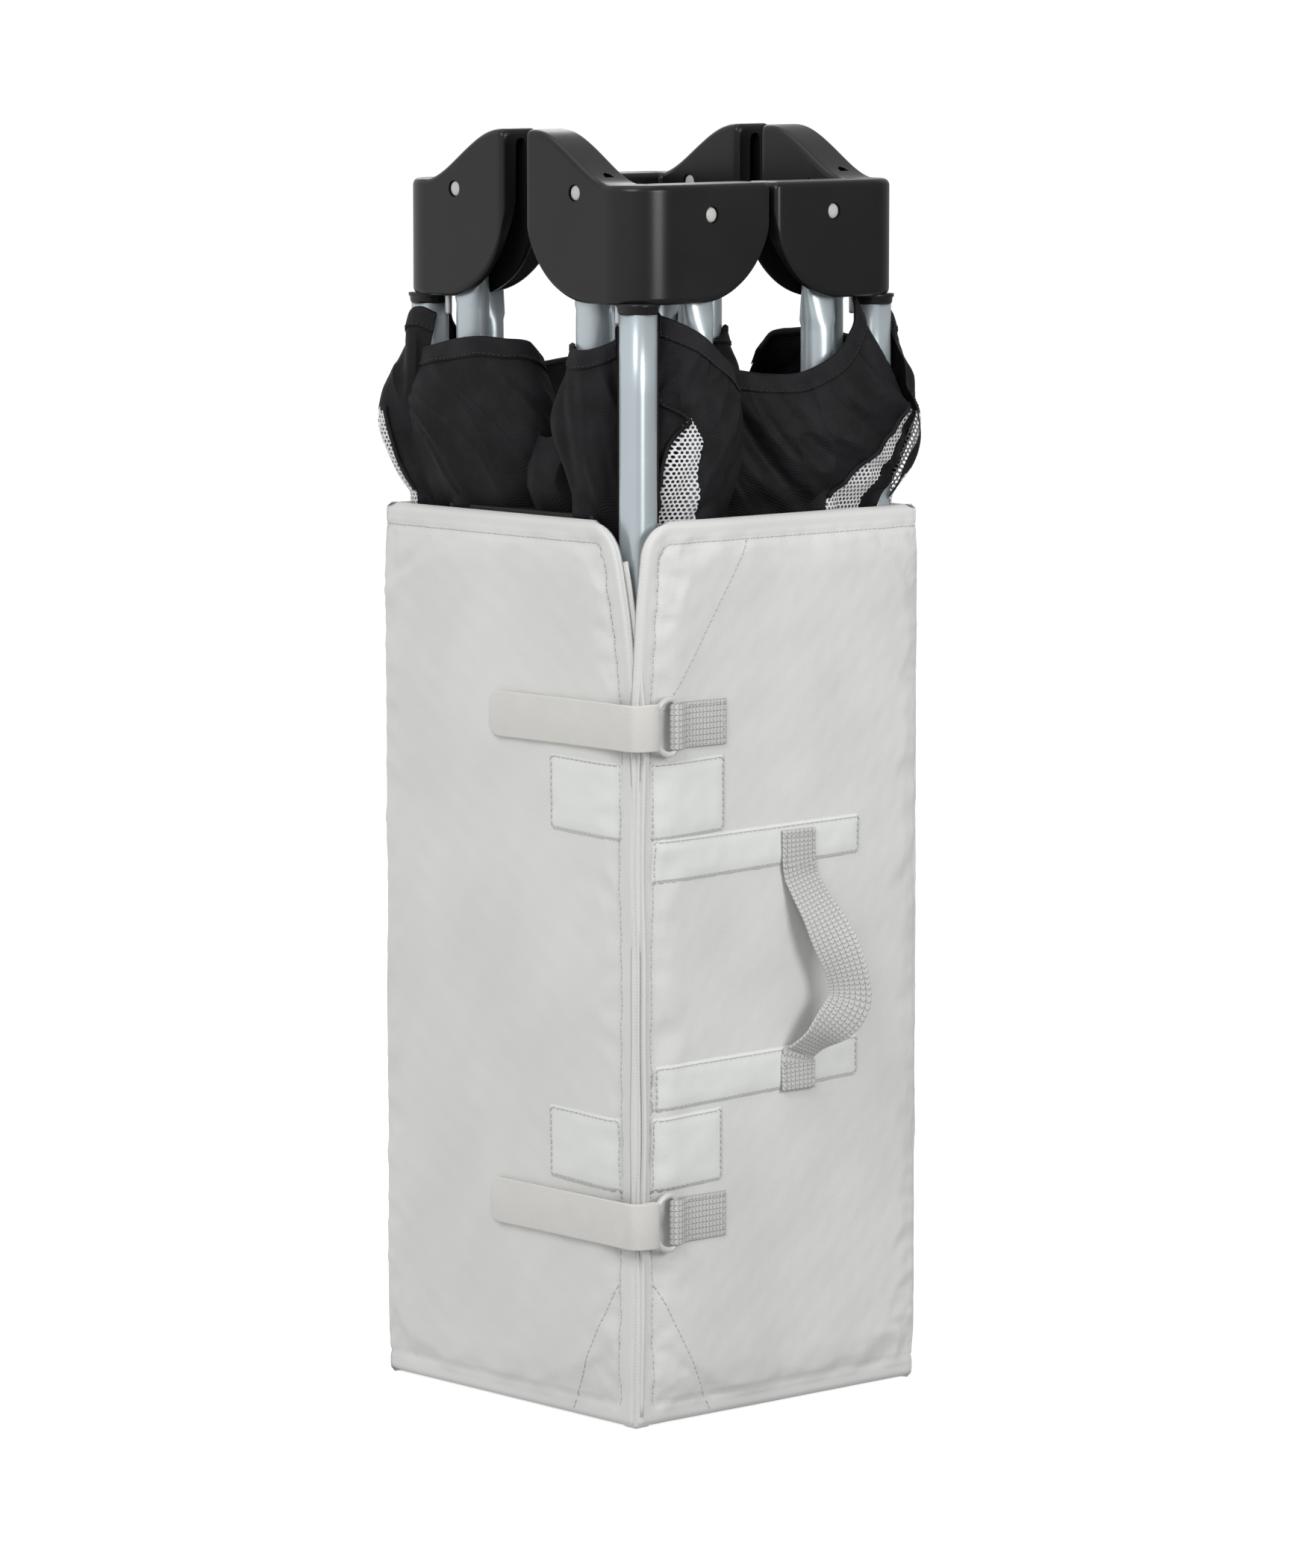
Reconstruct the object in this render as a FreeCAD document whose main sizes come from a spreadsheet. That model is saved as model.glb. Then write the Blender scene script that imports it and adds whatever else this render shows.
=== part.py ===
import FreeCAD, Part
import math
import os
import re

# A folding playpen that is packed for carrying. Four posts stand close together with their top rails and base
# struts folded down the middle, and the four-panel floor mat is wrapped round them. The origin is on the floor
# under the middle of the pack. The short sides face X (west and east), the long sides face Y (south and north).
# The mat is closed at the south-west corner. The corner pieces are made once for that corner and mirrored.

SIZES = {
    # posts
    "post_spacing": 208, "post_side": 22, "post_wall": 1.6, "post_round": 9,
    # corner caps: cap_tall is the corner's height, cap_rise what the short arm gains to its peak
    "cap_thick": 32, "cap_base": 729, "cap_tall": 77, "cap_rise": 34, "cap_round": 22, "cap_edge": 3,
    "cap_roof": 12, "collar_height": 6, "collar_lip": 3, "long_clear": 2, "short_clear": 11, "arm_round": 60,
    "peak_flat": 14, "rise_start": 4, "rise_low": 0.5, "rise_high": 0.62,
    "slot_narrow": 11, "slot_clear": 0.8, "slot_step": 28, "slot_back": 3, "slot_roof": 2, "fit_gap": 0.4,
    # rail hinge pins in the caps: how far in from the cap's outside, and how far under the corner's top
    "long_inset": 66, "short_inset": 60, "long_drop": 20, "short_drop": 6, "pin_radius": 5, "pin_recess": 1,
    # studs that hold the fabric's corners
    "stud_inset": 35, "stud_radius": 2.5, "stud_length": 12,
    # top rails: two halves a side, hinged at the caps and at the centre latch
    "long_reach": 428, "short_reach": 222, "rail_radius": 11, "rail_wall": 1.5, "rail_plug": 3,
    "tongue_thick": 8, "tongue_wide": 24, "tongue_length": 56, "latch_tongue": 20,
    # centre latches
    "latch_wall": 6, "latch_end": 12, "latch_floor": 6, "latch_drop": 14, "latch_pin_radius": 4,
    "button_length": 32, "button_width": 14, "button_height": 12, "button_travel": 4,
    # base: corner feet, struts and hub
    "foot_side": 38, "foot_height": 46, "foot_floor": 8, "pivot_offset": 45, "pivot_height": 35,
    "foot_clevis_reach": 26, "foot_bar_gap": 18, "foot_bar_short": 8,
    "strut_radius": 8, "strut_tongue": 15, "strut_blade": 6, "cheek_thick": 4, "cheek_radius": 11,
    "arm_width": 20, "base_pin_radius": 3, "hub_radius": 34, "hub_rise": 16, "hub_drop": 28,
    "hub_clevis_reach": 24, "hub_bar_gap": 20, "hub_foot_thick": 6, "hub_foot_step": 4,
    "pull_width": 25, "pull_thick": 3, "pull_height": 46, "pull_gap": 8, "pull_seat": 2,
    # fabric: the walls' folded sheets and the swell over the mat's edge
    "wall_thick": 10, "wall_foot": 90, "wall_under": 39, "wall_clear": 2, "bulge_over": 10, "bulge_under": 129,
    "bulge_past": 8, "floor_bunch": 130, "floor_rise": 96, "soft_gap": 0.6,
    # mat
    "mat_thick": 13.5, "mat_height": 590, "mat_miter_gap": 0.6, "mat_clear": 0.5,
    # straps, rings and handle
    "strap_tall": 30, "strap_thick": 4, "strap_length": 138, "upper_strap": 459, "lower_strap": 135,
    "ring_tall": 40, "ring_wide": 22, "ring_wire": 4, "ring_inset": 12, "ring_lift": 2,
    "loop_length": 52, "loop_thick": 2.5, "loop_seat": 3,
    "handle_place": 140, "handle_width": 30, "handle_low": 210, "handle_high": 383, "handle_bulge": 34,
    "handle_thick": 3, "handle_flat": 26, "handle_lead": 24, "handle_crest": 30,
    # how far a cutting shape runs past what it cuts
    "cut_past": 2,
}

# Places that several pieces share, each written once from the sizes above.
PLACES = {
    "cap_outside": "( post_spacing + cap_thick ) / -2",
    "cap_top": "cap_base + cap_tall",
    "cap_peak": "cap_base + cap_tall + cap_rise",
    "long_arm": "( post_spacing + cap_thick ) / 2 - long_clear",
    "short_arm": "( post_spacing + cap_thick ) / 2 - short_clear",
    "long_height": "cap_base + cap_tall - long_drop",
    "short_height": "cap_base + cap_tall - short_drop",
    "strut_length": "sqrt ( long_reach ^ 2 + short_reach ^ 2 )",
    "hub_height": "pivot_height + sqrt ( long_reach ^ 2 + short_reach ^ 2 )",
    "slot_wide": "2 * ( rail_radius + slot_clear )",
    "mat_outer": "post_spacing + 2 * ( max ( post_side / 2 ; rail_radius ) + mat_thick + mat_clear )",
    "wall_plane": "post_spacing / 2 - rail_radius - latch_wall - soft_gap - wall_clear",
    "wall_half": "post_spacing / 2 - rail_radius - latch_wall - soft_gap - wall_clear - wall_thick - fit_gap",
    "wall_top": "cap_base - wall_under",
    "bulge_foot": "max ( mat_height + bulge_over ; cap_base - bulge_under )",
    "bulge_out": "post_spacing / 2 + max ( post_side / 2 ; rail_radius ) + mat_thick + mat_clear + bulge_past",
}

doc = FreeCAD.newDocument("Playpen")
sheet = doc.addObject("Spreadsheet::Sheet", "sizes")
for row, (alias, value) in enumerate(SIZES.items(), start=1):
    sheet.set(f"A{row}", str(value))
    sheet.setAlias(f"A{row}", alias)
doc.recompute()
places = doc.addObject("App::VarSet", "places")

Z_AXIS = FreeCAD.Vector(0, 0, 1)
nodes = []


def size(alias):
    """A size or a shared place as a number, for the shapes that code makes."""
    return float(getattr(sheet if alias in SIZES else places, alias))


def formula(text):
    """An expression: every size in the text gets the sheet's name, and every place the variable set's."""
    owners = {**dict.fromkeys(PLACES, "places."), **dict.fromkeys(SIZES, "sizes.")}
    named = re.sub("[a-z_]+", lambda word: owners.get(word[0], "") + word[0], text)
    return re.sub(r"(sqrt|atan|max) \(", r"\1(", named)


def bind(thing, **properties):
    """Binds properties to expressions; base_x stands for Placement.Base.x, and turn for the rotation's angle."""
    paths = {"base_x": "Placement.Base.x", "base_y": "Placement.Base.y", "base_z": "Placement.Base.z",
             "turn": "Placement.Rotation.Angle"}
    for name, text in properties.items():
        thing.setExpression(paths.get(name, name), formula(text))
    return thing


for place_name, place_text in PLACES.items():
    places.addProperty("App::PropertyFloat", place_name)
    bind(places, **{place_name: place_text})
doc.recompute()


def node(label, thing):
    """Marks an object as a sub-part of its own; its label names its file."""
    thing.Label = label
    nodes.append(thing)
    return thing


def box(name, x, y, z, length, width, height):
    """A box by its low corner and its size, each an expression."""
    made = doc.addObject("Part::Box", name)
    return bind(made, Length=length, Width=width, Height=height, base_x=x, base_y=y, base_z=z)


def rod(name, radius, length, x, y, z, along="Z"):
    """A cylinder that starts at a point and runs along an axis."""
    made = doc.addObject("Part::Cylinder", name)
    turns = {"X": FreeCAD.Rotation(FreeCAD.Vector(0, 1, 0), 90), "Y": FreeCAD.Rotation(FreeCAD.Vector(1, 0, 0), -90),
             "Z": FreeCAD.Rotation()}
    made.Placement = FreeCAD.Placement(FreeCAD.Vector(), turns[along])
    return bind(made, Radius=radius, Height=length, base_x=x, base_y=y, base_z=z)


def fuse(name, shapes):
    made = doc.addObject("Part::MultiFuse", name)
    made.Shapes = shapes
    return made


def group(name, shape):
    """Wraps one shape, so that it can be turned about the origin as a whole."""
    made = doc.addObject("Part::Compound", name)
    made.Links = [shape]
    return made


def cut(name, base, tools):
    made = doc.addObject("Part::Cut", name)
    made.Base = base
    made.Tool = tools[0] if len(tools) == 1 else fuse(name + "_tools", tools)
    return made


def mirrored(label, source, normal):
    made = doc.addObject("Part::Mirroring", label)
    made.Source = source
    made.Normal = normal
    made.Base = FreeCAD.Vector()
    return node(label, made)


def four_corners(label, source):
    """The south-west piece and its mirror images at the other three corners."""
    node(label + "_sw", source)
    east = mirrored(label + "_se", source, FreeCAD.Vector(1, 0, 0))
    mirrored(label + "_nw", source, FreeCAD.Vector(0, 1, 0))
    mirrored(label + "_ne", east, FreeCAD.Vector(0, 1, 0))


def upright_edges(shape, wanted):
    """Names of the edges along Z whose middle passes the test."""
    names = []
    for number, edge in enumerate(shape.Edges, start=1):
        ends = edge.Vertexes
        if len(ends) < 2:
            continue
        run = ends[1].Point - ends[0].Point
        upright = abs(run.z) > 1 and abs(run.x) < 1e-6 and abs(run.y) < 1e-6
        if upright and wanted(edge.CenterOfMass):
            names.append(f"Edge{number}")
    return names


def block_body(name, length, width, height, x, y, z):
    """A PartDesign body that holds one box."""
    body = doc.addObject("PartDesign::Body", name)
    block = body.newObject("PartDesign::AdditiveBox", name + "_block")
    bind(block, Length=length, Width=width, Height=height, base_x=x, base_y=y, base_z=z)
    doc.recompute()
    return body, block


def round_uprights(body, base, name, radius, wanted):
    rounded = body.newObject("PartDesign::Fillet", name)
    rounded.Base = (base, upright_edges(base.Shape, wanted))
    bind(rounded, Radius=radius)
    doc.recompute()
    return rounded


# ---- posts ----------------------------------------------------------------------------------------------------
post_centre = "-post_spacing / 2"
post_low = "post_spacing / -2 - post_side / 2"
post_height = "cap_top - foot_floor - cap_roof"

post, post_block = block_body("post", "post_side", "post_side", post_height, post_low, post_low, "foot_floor")
post_rounded = round_uprights(post, post_block, "post_corners", "post_round", lambda middle: True)
ends = [f"Face{number}" for number, face in enumerate(post_rounded.Shape.Faces, start=1)
        if abs(abs(face.normalAt(0, 0).z) - 1) < 1e-6]
hollow = post.newObject("PartDesign::Thickness", "post_hollow")
hollow.Base = (post_rounded, ends)
hollow.Reversed = True
bind(hollow, Value="post_wall")
doc.recompute()
four_corners("post_tube", post)


# ---- corner caps ----------------------------------------------------------------------------------------------
def arc(start, middle, end):
    return Part.Arc(start, middle, end).toShape()


def line(start, end):
    return Part.LineSegment(start, end).toShape()


def arm_profile(place, length, top, peak):
    """A cap arm seen from its side, as a face. place(along, height) gives a point of the arm's plane."""
    base, radius, thick = size("cap_base"), size("arm_round"), size("cap_thick")
    lean = radius * (1 - math.sqrt(0.5))
    outer = [place(0, base), place(length - radius, base), place(length, base + radius), place(length, peak)]
    middle = place(length - lean, base + lean)
    edges = [line(outer[0], outer[1]), arc(outer[1], middle, outer[2]), line(outer[2], outer[3])]
    if peak > top:
        # the top rises from the corner to the arm's end in an S
        tip, foot = place(length - size("peak_flat"), peak), place(thick + size("rise_start"), top)
        rise = Part.BezierCurve()
        rise.setPoles([tip, place(length * size("rise_high"), peak), place(length * size("rise_low"), top), foot])
        edges += [line(outer[3], tip), rise.toShape(), line(foot, place(0, top)), line(place(0, top), outer[0])]
    else:
        edges += [line(outer[3], place(0, top)), line(place(0, top), outer[0])]
    return Part.Face(Part.Wire(edges))


def cap_shape():
    thick, outside, past = size("cap_thick"), size("cap_outside"), size("cut_past")
    along_x = lambda along, height: FreeCAD.Vector(outside + along, outside, height)
    along_y = lambda along, height: FreeCAD.Vector(outside, outside + along, height)
    long_arm = arm_profile(along_x, size("long_arm"), size("cap_top"), size("cap_top"))
    short_arm = arm_profile(along_y, size("short_arm"), size("cap_top"), size("cap_peak"))
    shell = long_arm.extrude(FreeCAD.Vector(0, thick, 0)).fuse(short_arm.extrude(FreeCAD.Vector(thick, 0, 0)))
    shell = shell.removeSplitter()
    corner = [e for e in shell.Edges if abs(e.CenterOfMass.x - outside) < 0.01
              and abs(e.CenterOfMass.y - outside) < 0.01]
    shell = shell.makeFillet(size("cap_round"), corner)
    # the long outlines of both faces are softened
    soft = []
    for edge in shell.Edges:
        middle = edge.CenterOfMass
        on_face = abs(middle.y - outside) < 0.01 or abs(middle.x - outside) < 0.01
        if on_face and middle.z > size("cap_base") + 1 and edge.Length > 20:
            soft.append(edge)
    shell = shell.makeFillet(size("cap_edge"), soft)
    # collar round the post
    reach = size("post_side") / 2 + size("collar_lip")
    middle = -size("post_spacing") / 2
    collar = Part.makeBox(2 * reach, 2 * reach, size("collar_height") + past, FreeCAD.Vector(
        middle - reach, middle - reach, size("cap_base") - size("collar_height")))
    shell = shell.fuse(collar).removeSplitter()
    # the post's socket
    half, collar_low = size("post_side") / 2, size("cap_base") - size("collar_height")
    socket = Part.makeBox(2 * half, 2 * half, size("cap_top") - size("cap_roof") - collar_low + past,
                          FreeCAD.Vector(middle - half, middle - half, collar_low - past))
    shell = shell.cut(socket)
    # the slots that the rails swing in, narrow at the top and wide below
    for across, inset, height, length in ((0, size("long_inset"), size("long_height"), size("long_arm")),
                                          (1, size("short_inset"), size("short_height"), size("short_arm"))):
        start = inset - size("tongue_wide") / 2 - size("slot_back")
        for wide, ceiling in ((size("slot_narrow"), height + size("tongue_wide") / 2 + size("slot_roof")),
                              (size("slot_wide"), height - size("slot_step"))):
            low = size("cap_base") - past
            run, tall = length - start + past, ceiling - low
            sides = (run, wide) if across == 0 else (wide, run)
            corner = [outside + start, middle - wide / 2] if across == 0 else [middle - wide / 2, outside + start]
            shell = shell.cut(Part.makeBox(sides[0], sides[1], tall, FreeCAD.Vector(corner[0], corner[1], low)))
        hole = size("pin_radius") + size("fit_gap")
        if across == 0:
            start_point, direction = FreeCAD.Vector(outside + inset, outside - past, height), FreeCAD.Vector(0, 1, 0)
        else:
            start_point, direction = FreeCAD.Vector(outside - past, outside + inset, height), FreeCAD.Vector(1, 0, 0)
        shell = shell.cut(Part.makeCylinder(hole, thick + 2 * past, start_point, direction))
    return shell


cap = doc.addObject("Part::Feature", "cap")
cap.Shape = cap_shape()
four_corners("corner_cap", cap)

# ---- half rails -----------------------------------------------------------------------------------------------
# Each hangs from its pin beside the post; long rails run to the south latch, short rails to the west latch.


def half_rail(name, inset, height, reach, across):
    """A tube with a flattened tongue at the cap and a shorter tongue at the latch. across: the pins' axis."""
    along = f"cap_outside + {inset}"
    x, y = (along, post_centre) if across == "Y" else (post_centre, along)
    tube_low = f"{height} - {reach} + latch_tongue"
    tube_length = f"{reach} - tongue_length - latch_tongue"

    def tongue(part, wide, thick, z, tall):
        lengths = (wide, thick) if across == "Y" else (thick, wide)
        return box(name + part, f"{x} - ( {lengths[0]} ) / 2", f"{y} - ( {lengths[1]} ) / 2", z, *lengths, tall)

    def cross_rod(part, radius, z, thick):
        if across == "Y":
            return rod(name + part, radius, thick, x, f"{y} - ( {thick} ) / 2", z, "Y")
        return rod(name + part, radius, thick, f"{x} - ( {thick} ) / 2", y, z, "X")

    solid = fuse(name + "_solid", [
        rod(name + "_tube", "rail_radius", tube_length, x, y, tube_low),
        tongue("_top", "tongue_wide", "tongue_thick", f"{height} - tongue_length", "tongue_length"),
        cross_rod("_top_end", "tongue_wide / 2", height, "tongue_thick"),
        tongue("_low", "rail_radius * 2", "tongue_thick", f"{height} - {reach}", "latch_tongue"),
        cross_rod("_low_end", "rail_radius", f"{height} - {reach}", "tongue_thick"),
    ])
    return cut(name, solid, [
        rod(name + "_bore", "rail_radius - rail_wall", tube_length + " - 2 * rail_plug", x, y,
            tube_low + " + rail_plug"),
        cross_rod("_top_hole", "pin_radius + fit_gap", height, "tongue_thick + 2 * cut_past"),
        cross_rod("_low_hole", "latch_pin_radius + fit_gap", f"{height} - {reach}",
                  "tongue_thick + 2 * cut_past"),
    ])


four_corners("rail_long", half_rail("long_rail", "long_inset", "long_height", "long_reach", "Y"))
four_corners("rail_short", half_rail("short_rail", "short_inset", "short_height", "short_reach", "X"))

# ---- corner feet and struts -----------------------------------------------------------------------------------
# A strut stands upright between its foot's clevis and the hub's clevis. Both clevises face along the strut's
# way out, whose angle from the X axis comes from the two rail reaches.
strut_turn = "180 deg + atan ( short_reach / long_reach )"
pivot_pin_length = "strut_blade + 2 * ( cheek_thick + fit_gap )"


def turned(thing, angle, z):
    """A fusion or cut that is made about the Z axis, then turned and set on the strut's line."""
    thing.Placement = FreeCAD.Placement(FreeCAD.Vector(), FreeCAD.Rotation(Z_AXIS, 1))
    return bind(thing, turn=angle, base_x="-pivot_offset", base_y="-pivot_offset", base_z=z)


def clevis(name, reach, rise_low, rise_high, z):
    """Two cheeks round a pivot at the local origin, and the root that joins them on the inner side."""
    cheeks = []
    for side in (-1, 1):
        near = "strut_blade / 2 + fit_gap"
        start = near if side > 0 else f"( {near} + cheek_thick ) * -1"
        cheeks.append(rod(f"{name}_round{side + 1}", "cheek_radius", "cheek_thick", "0", start, "0", "Y"))
        cheeks.append(box(f"{name}_cheek{side + 1}", f"{reach} * -1", start, rise_low, reach, "cheek_thick",
                          f"{rise_high} - ( {rise_low} )"))
    return turned(fuse(name, cheeks), strut_turn, z)


strut_solid = fuse("strut_solid", [
    rod("strut_tube", "strut_radius", "strut_length - 2 * strut_tongue", "0", "0", "strut_tongue"),
    box("strut_blade_plate", "strut_radius * -1", "strut_blade / -2", "0", "2 * strut_radius", "strut_blade",
        "strut_length"),
    rod("strut_low_end", "strut_radius", "strut_blade", "0", "strut_blade / -2", "0", "Y"),
    rod("strut_high_end", "strut_radius", "strut_blade", "0", "strut_blade / -2", "strut_length", "Y"),
])
strut = cut("strut_cut", strut_solid, [
    rod("strut_low_hole", "base_pin_radius + fit_gap", "strut_blade + 2 * cut_past", "0",
        "strut_blade / -2 - cut_past", "0", "Y"),
    rod("strut_high_hole", "base_pin_radius + fit_gap", "strut_blade + 2 * cut_past", "0",
        "strut_blade / -2 - cut_past",
        "strut_length", "Y"),
])
four_corners("base_strut", turned(strut, strut_turn, "pivot_height"))


def arm_bar(name, x, length, z, tall):
    """A bar along the corner's diagonal, from the middle of the pack outwards."""
    made = box(name, "0", "0", z, length, "arm_width", tall)
    made.Placement = FreeCAD.Placement(FreeCAD.Vector(), FreeCAD.Rotation(Z_AXIS, -135))
    start, half = f"( {x} ) * sqrt ( 0.5 )", "arm_width / 2 * sqrt ( 0.5 )"
    return bind(made, base_x=f"( {start} ) * -1 - {half}", base_y=f"( {start} ) * -1 + {half}", base_z=z)


diagonal = "pivot_offset * sqrt ( 2 )"
foot_pad, foot_block = block_body("foot_pad", "foot_side", "foot_side", "foot_height", post_low, post_low, "0")
round_uprights(foot_pad, foot_block, "foot_corners", "post_round", lambda middle: True)
foot_clevis = clevis("foot_clevis", "foot_clevis_reach", "cheek_radius * -1", "cheek_radius", "pivot_height")
foot_clevis.setExpression("Placement.Rotation.Angle", formula("atan ( short_reach / long_reach )"))
foot_bar = arm_bar("foot_bar", f"{diagonal} + foot_bar_gap",
                   f"( post_spacing / 2 ) * sqrt ( 2 ) - {diagonal} - foot_bar_gap - foot_bar_short",
                   "pivot_height - cheek_radius", "2 * cheek_radius")
foot_solid = fuse("foot_solid", [foot_pad, foot_clevis, foot_bar])
foot = cut("foot", foot_solid, [
    box("foot_socket", post_low, post_low, "foot_floor", "post_side", "post_side", "foot_height"),
    turned(group("foot_pin_hole", rod("foot_hole_rod", "base_pin_radius", "arm_width * 2", "0", "arm_width * -1", "0", "Y")),
           strut_turn, "pivot_height"),
])
four_corners("corner_foot", foot)

# ---- fasteners of one corner: the two rail pins, the foot pin and the stud that holds the fabric's corner ------
pins = fuse("corner_fasteners", [
    rod("long_pin", "pin_radius", "cap_thick - 2 * pin_recess", "cap_outside + long_inset",
        "cap_outside + pin_recess", "long_height", "Y"),
    rod("short_pin", "pin_radius", "cap_thick - 2 * pin_recess", "cap_outside + pin_recess",
        "cap_outside + short_inset", "short_height", "X"),
    turned(group("foot_pin", rod("foot_pin_rod", "base_pin_radius", pivot_pin_length, "0",
                                 f"( {pivot_pin_length} ) / -2", "0", "Y")), strut_turn, "pivot_height"),
    rod("stud", "stud_radius", "stud_length", "cap_outside + stud_inset", post_centre, "cap_base - stud_length"),
])
four_corners("corner_pins", pins)


# ---- centre latches -------------------------------------------------------------------------------------------
def latch(side, inset, height, reach, across):
    """The housing, its two pins and its button, made at the origin along X and then set on its side."""
    half = f"( post_spacing + cap_thick ) / 2 - {inset}"
    inner = "tongue_thick / 2 + fit_gap"
    outer = f"{inner} + latch_wall"
    channel = f"2 * ( {outer} )"
    name = "latch_" + side
    shell = box(name + "_shell", f"( {half} + latch_end ) * -1", f"( {outer} ) * -1", "latch_drop * -1 - latch_floor",
                f"2 * ( {half} + latch_end )", channel, "2 * latch_drop + latch_floor")
    ends = []
    for sign in (-1, 1):
        start = f"{half} - rail_radius - soft_gap" if sign > 0 else f"( {half} + latch_end + cut_past ) * -1"
        ends.append(box(f"{name}_bay{sign + 1}", start, f"( {inner} ) * -1", "latch_drop * -1",
                        "rail_radius + soft_gap + latch_end + cut_past", f"2 * ( {inner} )",
                        "2 * latch_drop + cut_past"))
        ends.append(rod(f"{name}_hole{sign + 1}", "latch_pin_radius", f"{channel} + 2 * cut_past",
                        f"( {half} ) * {sign}", f"( {outer} + cut_past ) * -1", "0", "Y"))
    ends.append(box(name + "_pocket", "button_length / -2 - fit_gap", "button_width / -2 - fit_gap",
                    "latch_drop * -1 - latch_floor - cut_past", "button_length + 2 * fit_gap",
                    "button_width + 2 * fit_gap", "button_height + button_travel + fit_gap + cut_past"))
    housing = cut(name + "_housing", shell, ends)
    pair = fuse(name + "_pins", [
        rod(f"{name}_pin{sign + 1}", "latch_pin_radius", channel, f"( {half} ) * {sign}", f"( {outer} ) * -1", "0", "Y")
        for sign in (-1, 1)])
    button = box(name + "_button", "button_length / -2", "button_width / -2",
                 "latch_drop * -1 - latch_floor - button_travel", "button_length", "button_width",
                 "button_height + button_travel")
    button_group = group(name + "_button_solid", button)
    far = {"south": ("0", post_centre), "north": ("0", "post_spacing / 2"), "west": (post_centre, "0"),
           "east": ("post_spacing / 2", "0")}[side]
    for label, thing in (("latch_housing_", housing), ("latch_pins_", pair), ("latch_button_", button_group)):
        quarter = 0 if across == "Y" else 90
        thing.Placement = FreeCAD.Placement(FreeCAD.Vector(), FreeCAD.Rotation(Z_AXIS, quarter))
        bind(thing, base_x=far[0], base_y=far[1], base_z=f"{height} - {reach}")
        node(label + side, thing)


for side in ("south", "north"):
    latch(side, "long_inset", "long_height", "long_reach", "Y")
for side in ("west", "east"):
    latch(side, "short_inset", "short_height", "short_reach", "X")

# ---- hub ------------------------------------------------------------------------------------------------------
hub_core = rod("hub_core", "hub_radius", "hub_rise + hub_drop", "0", "0", "hub_height - hub_drop")
hub_parts, hub_holes, hub_pins = [hub_core], [], []
hub_clevis = clevis("hub_clevis", "hub_clevis_reach", "cheek_radius * -1", "cheek_radius", "hub_height")
hub_bar = arm_bar("hub_bar", "0", f"{diagonal} - hub_bar_gap", "hub_height - cheek_radius", "2 * cheek_radius")
hub_arm = fuse("hub_arm", [hub_clevis, hub_bar])
hub_hole = turned(group("hub_hole", rod("hub_hole_rod", "base_pin_radius", "arm_width * 2", "0", "arm_width * -1", "0", "Y")),
                  strut_turn, "hub_height")
hub_pin = turned(group("hub_pin", rod("hub_pin_rod", "base_pin_radius", pivot_pin_length, "0",
                                      f"( {pivot_pin_length} ) / -2", "0", "Y")), strut_turn, "hub_height")


def all_corners(name, source):
    """The piece and its three mirror images, as a list that is not exported."""
    found = [source]
    for suffix, of_source, normal in (("_e", 0, FreeCAD.Vector(1, 0, 0)), ("_n", 0, FreeCAD.Vector(0, 1, 0)),
                                      ("_en", 1, FreeCAD.Vector(0, 1, 0))):
        made = doc.addObject("Part::Mirroring", name + suffix)
        made.Source = found[of_source]
        made.Normal = normal
        found.append(made)
    return found


hub_body = fuse("hub_body", [hub_core] + all_corners("hub_arm", hub_arm))
pull_hole = box("pull_hole", "pull_width / -2 - fit_gap", "pull_thick / -2 - pull_gap / 2 - fit_gap",
                "hub_height + pull_seat",
                "pull_width + 2 * fit_gap", "pull_thick + pull_gap + 2 * fit_gap", "hub_rise")
node("hub_housing", cut("hub_housing", hub_body, all_corners("hub_hole", hub_hole) + [pull_hole]))
node("hub_pins", fuse("hub_pins", all_corners("hub_pin", hub_pin)))
hub_foot = rod("hub_foot_disc", "hub_radius - hub_foot_step", "hub_foot_thick", "0", "0",
               "hub_height - hub_drop - hub_foot_thick")
node("hub_foot", hub_foot)
pull_outer = box("pull_outer", "pull_width / -2", "pull_thick / -2 - pull_gap / 2",
                 "hub_height + pull_seat + fit_gap", "pull_width", "pull_thick + pull_gap", "pull_height")
pull_inner = box("pull_inner", "pull_width / -2 - cut_past", "pull_thick / 2 - pull_gap / 2",
                 "hub_height + pull_seat + fit_gap + pull_thick", "pull_width + 2 * cut_past", "pull_gap - pull_thick",
                 "pull_height - 2 * pull_thick")
node("hub_pull_strap", cut("hub_pull", pull_outer, [pull_inner]))


# ---- fabric ---------------------------------------------------------------------------------------------------
def wall(side, inset):
    """One wall's folded cloth: a hanging sheet inside the rails, and the fold that swells over the mat's edge."""
    name = "wall_" + side
    sheet_part = box(name + "_sheet", "wall_half * -1", "wall_plane - wall_thick", "wall_foot", "2 * wall_half",
                     "wall_thick", "wall_top - wall_foot")
    bulge = box(name + "_bulge", "wall_half * -1", "wall_plane - wall_thick", "bulge_foot", "2 * wall_half",
                "bulge_out - wall_plane + wall_thick", "wall_top - bulge_foot")
    holes = [
        rod(f"{name}_hole{sign + 1}", "rail_radius + soft_gap", "wall_top",
            f"( ( post_spacing + cap_thick ) / 2 - {inset} ) * {sign}", "post_spacing / 2", "bulge_foot - cut_past")
        for sign in (-1, 1)]
    made = cut(name, fuse(name + "_solid", [sheet_part, bulge]), holes)
    quarter = {"north": 0, "west": 90, "south": 180, "east": 270}[side]
    made.Placement = FreeCAD.Placement(FreeCAD.Vector(), FreeCAD.Rotation(Z_AXIS, quarter))
    node("wall_fabric_" + side, made)


wall("north", "long_inset")
wall("south", "long_inset")
wall("west", "short_inset")
wall("east", "short_inset")

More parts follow.
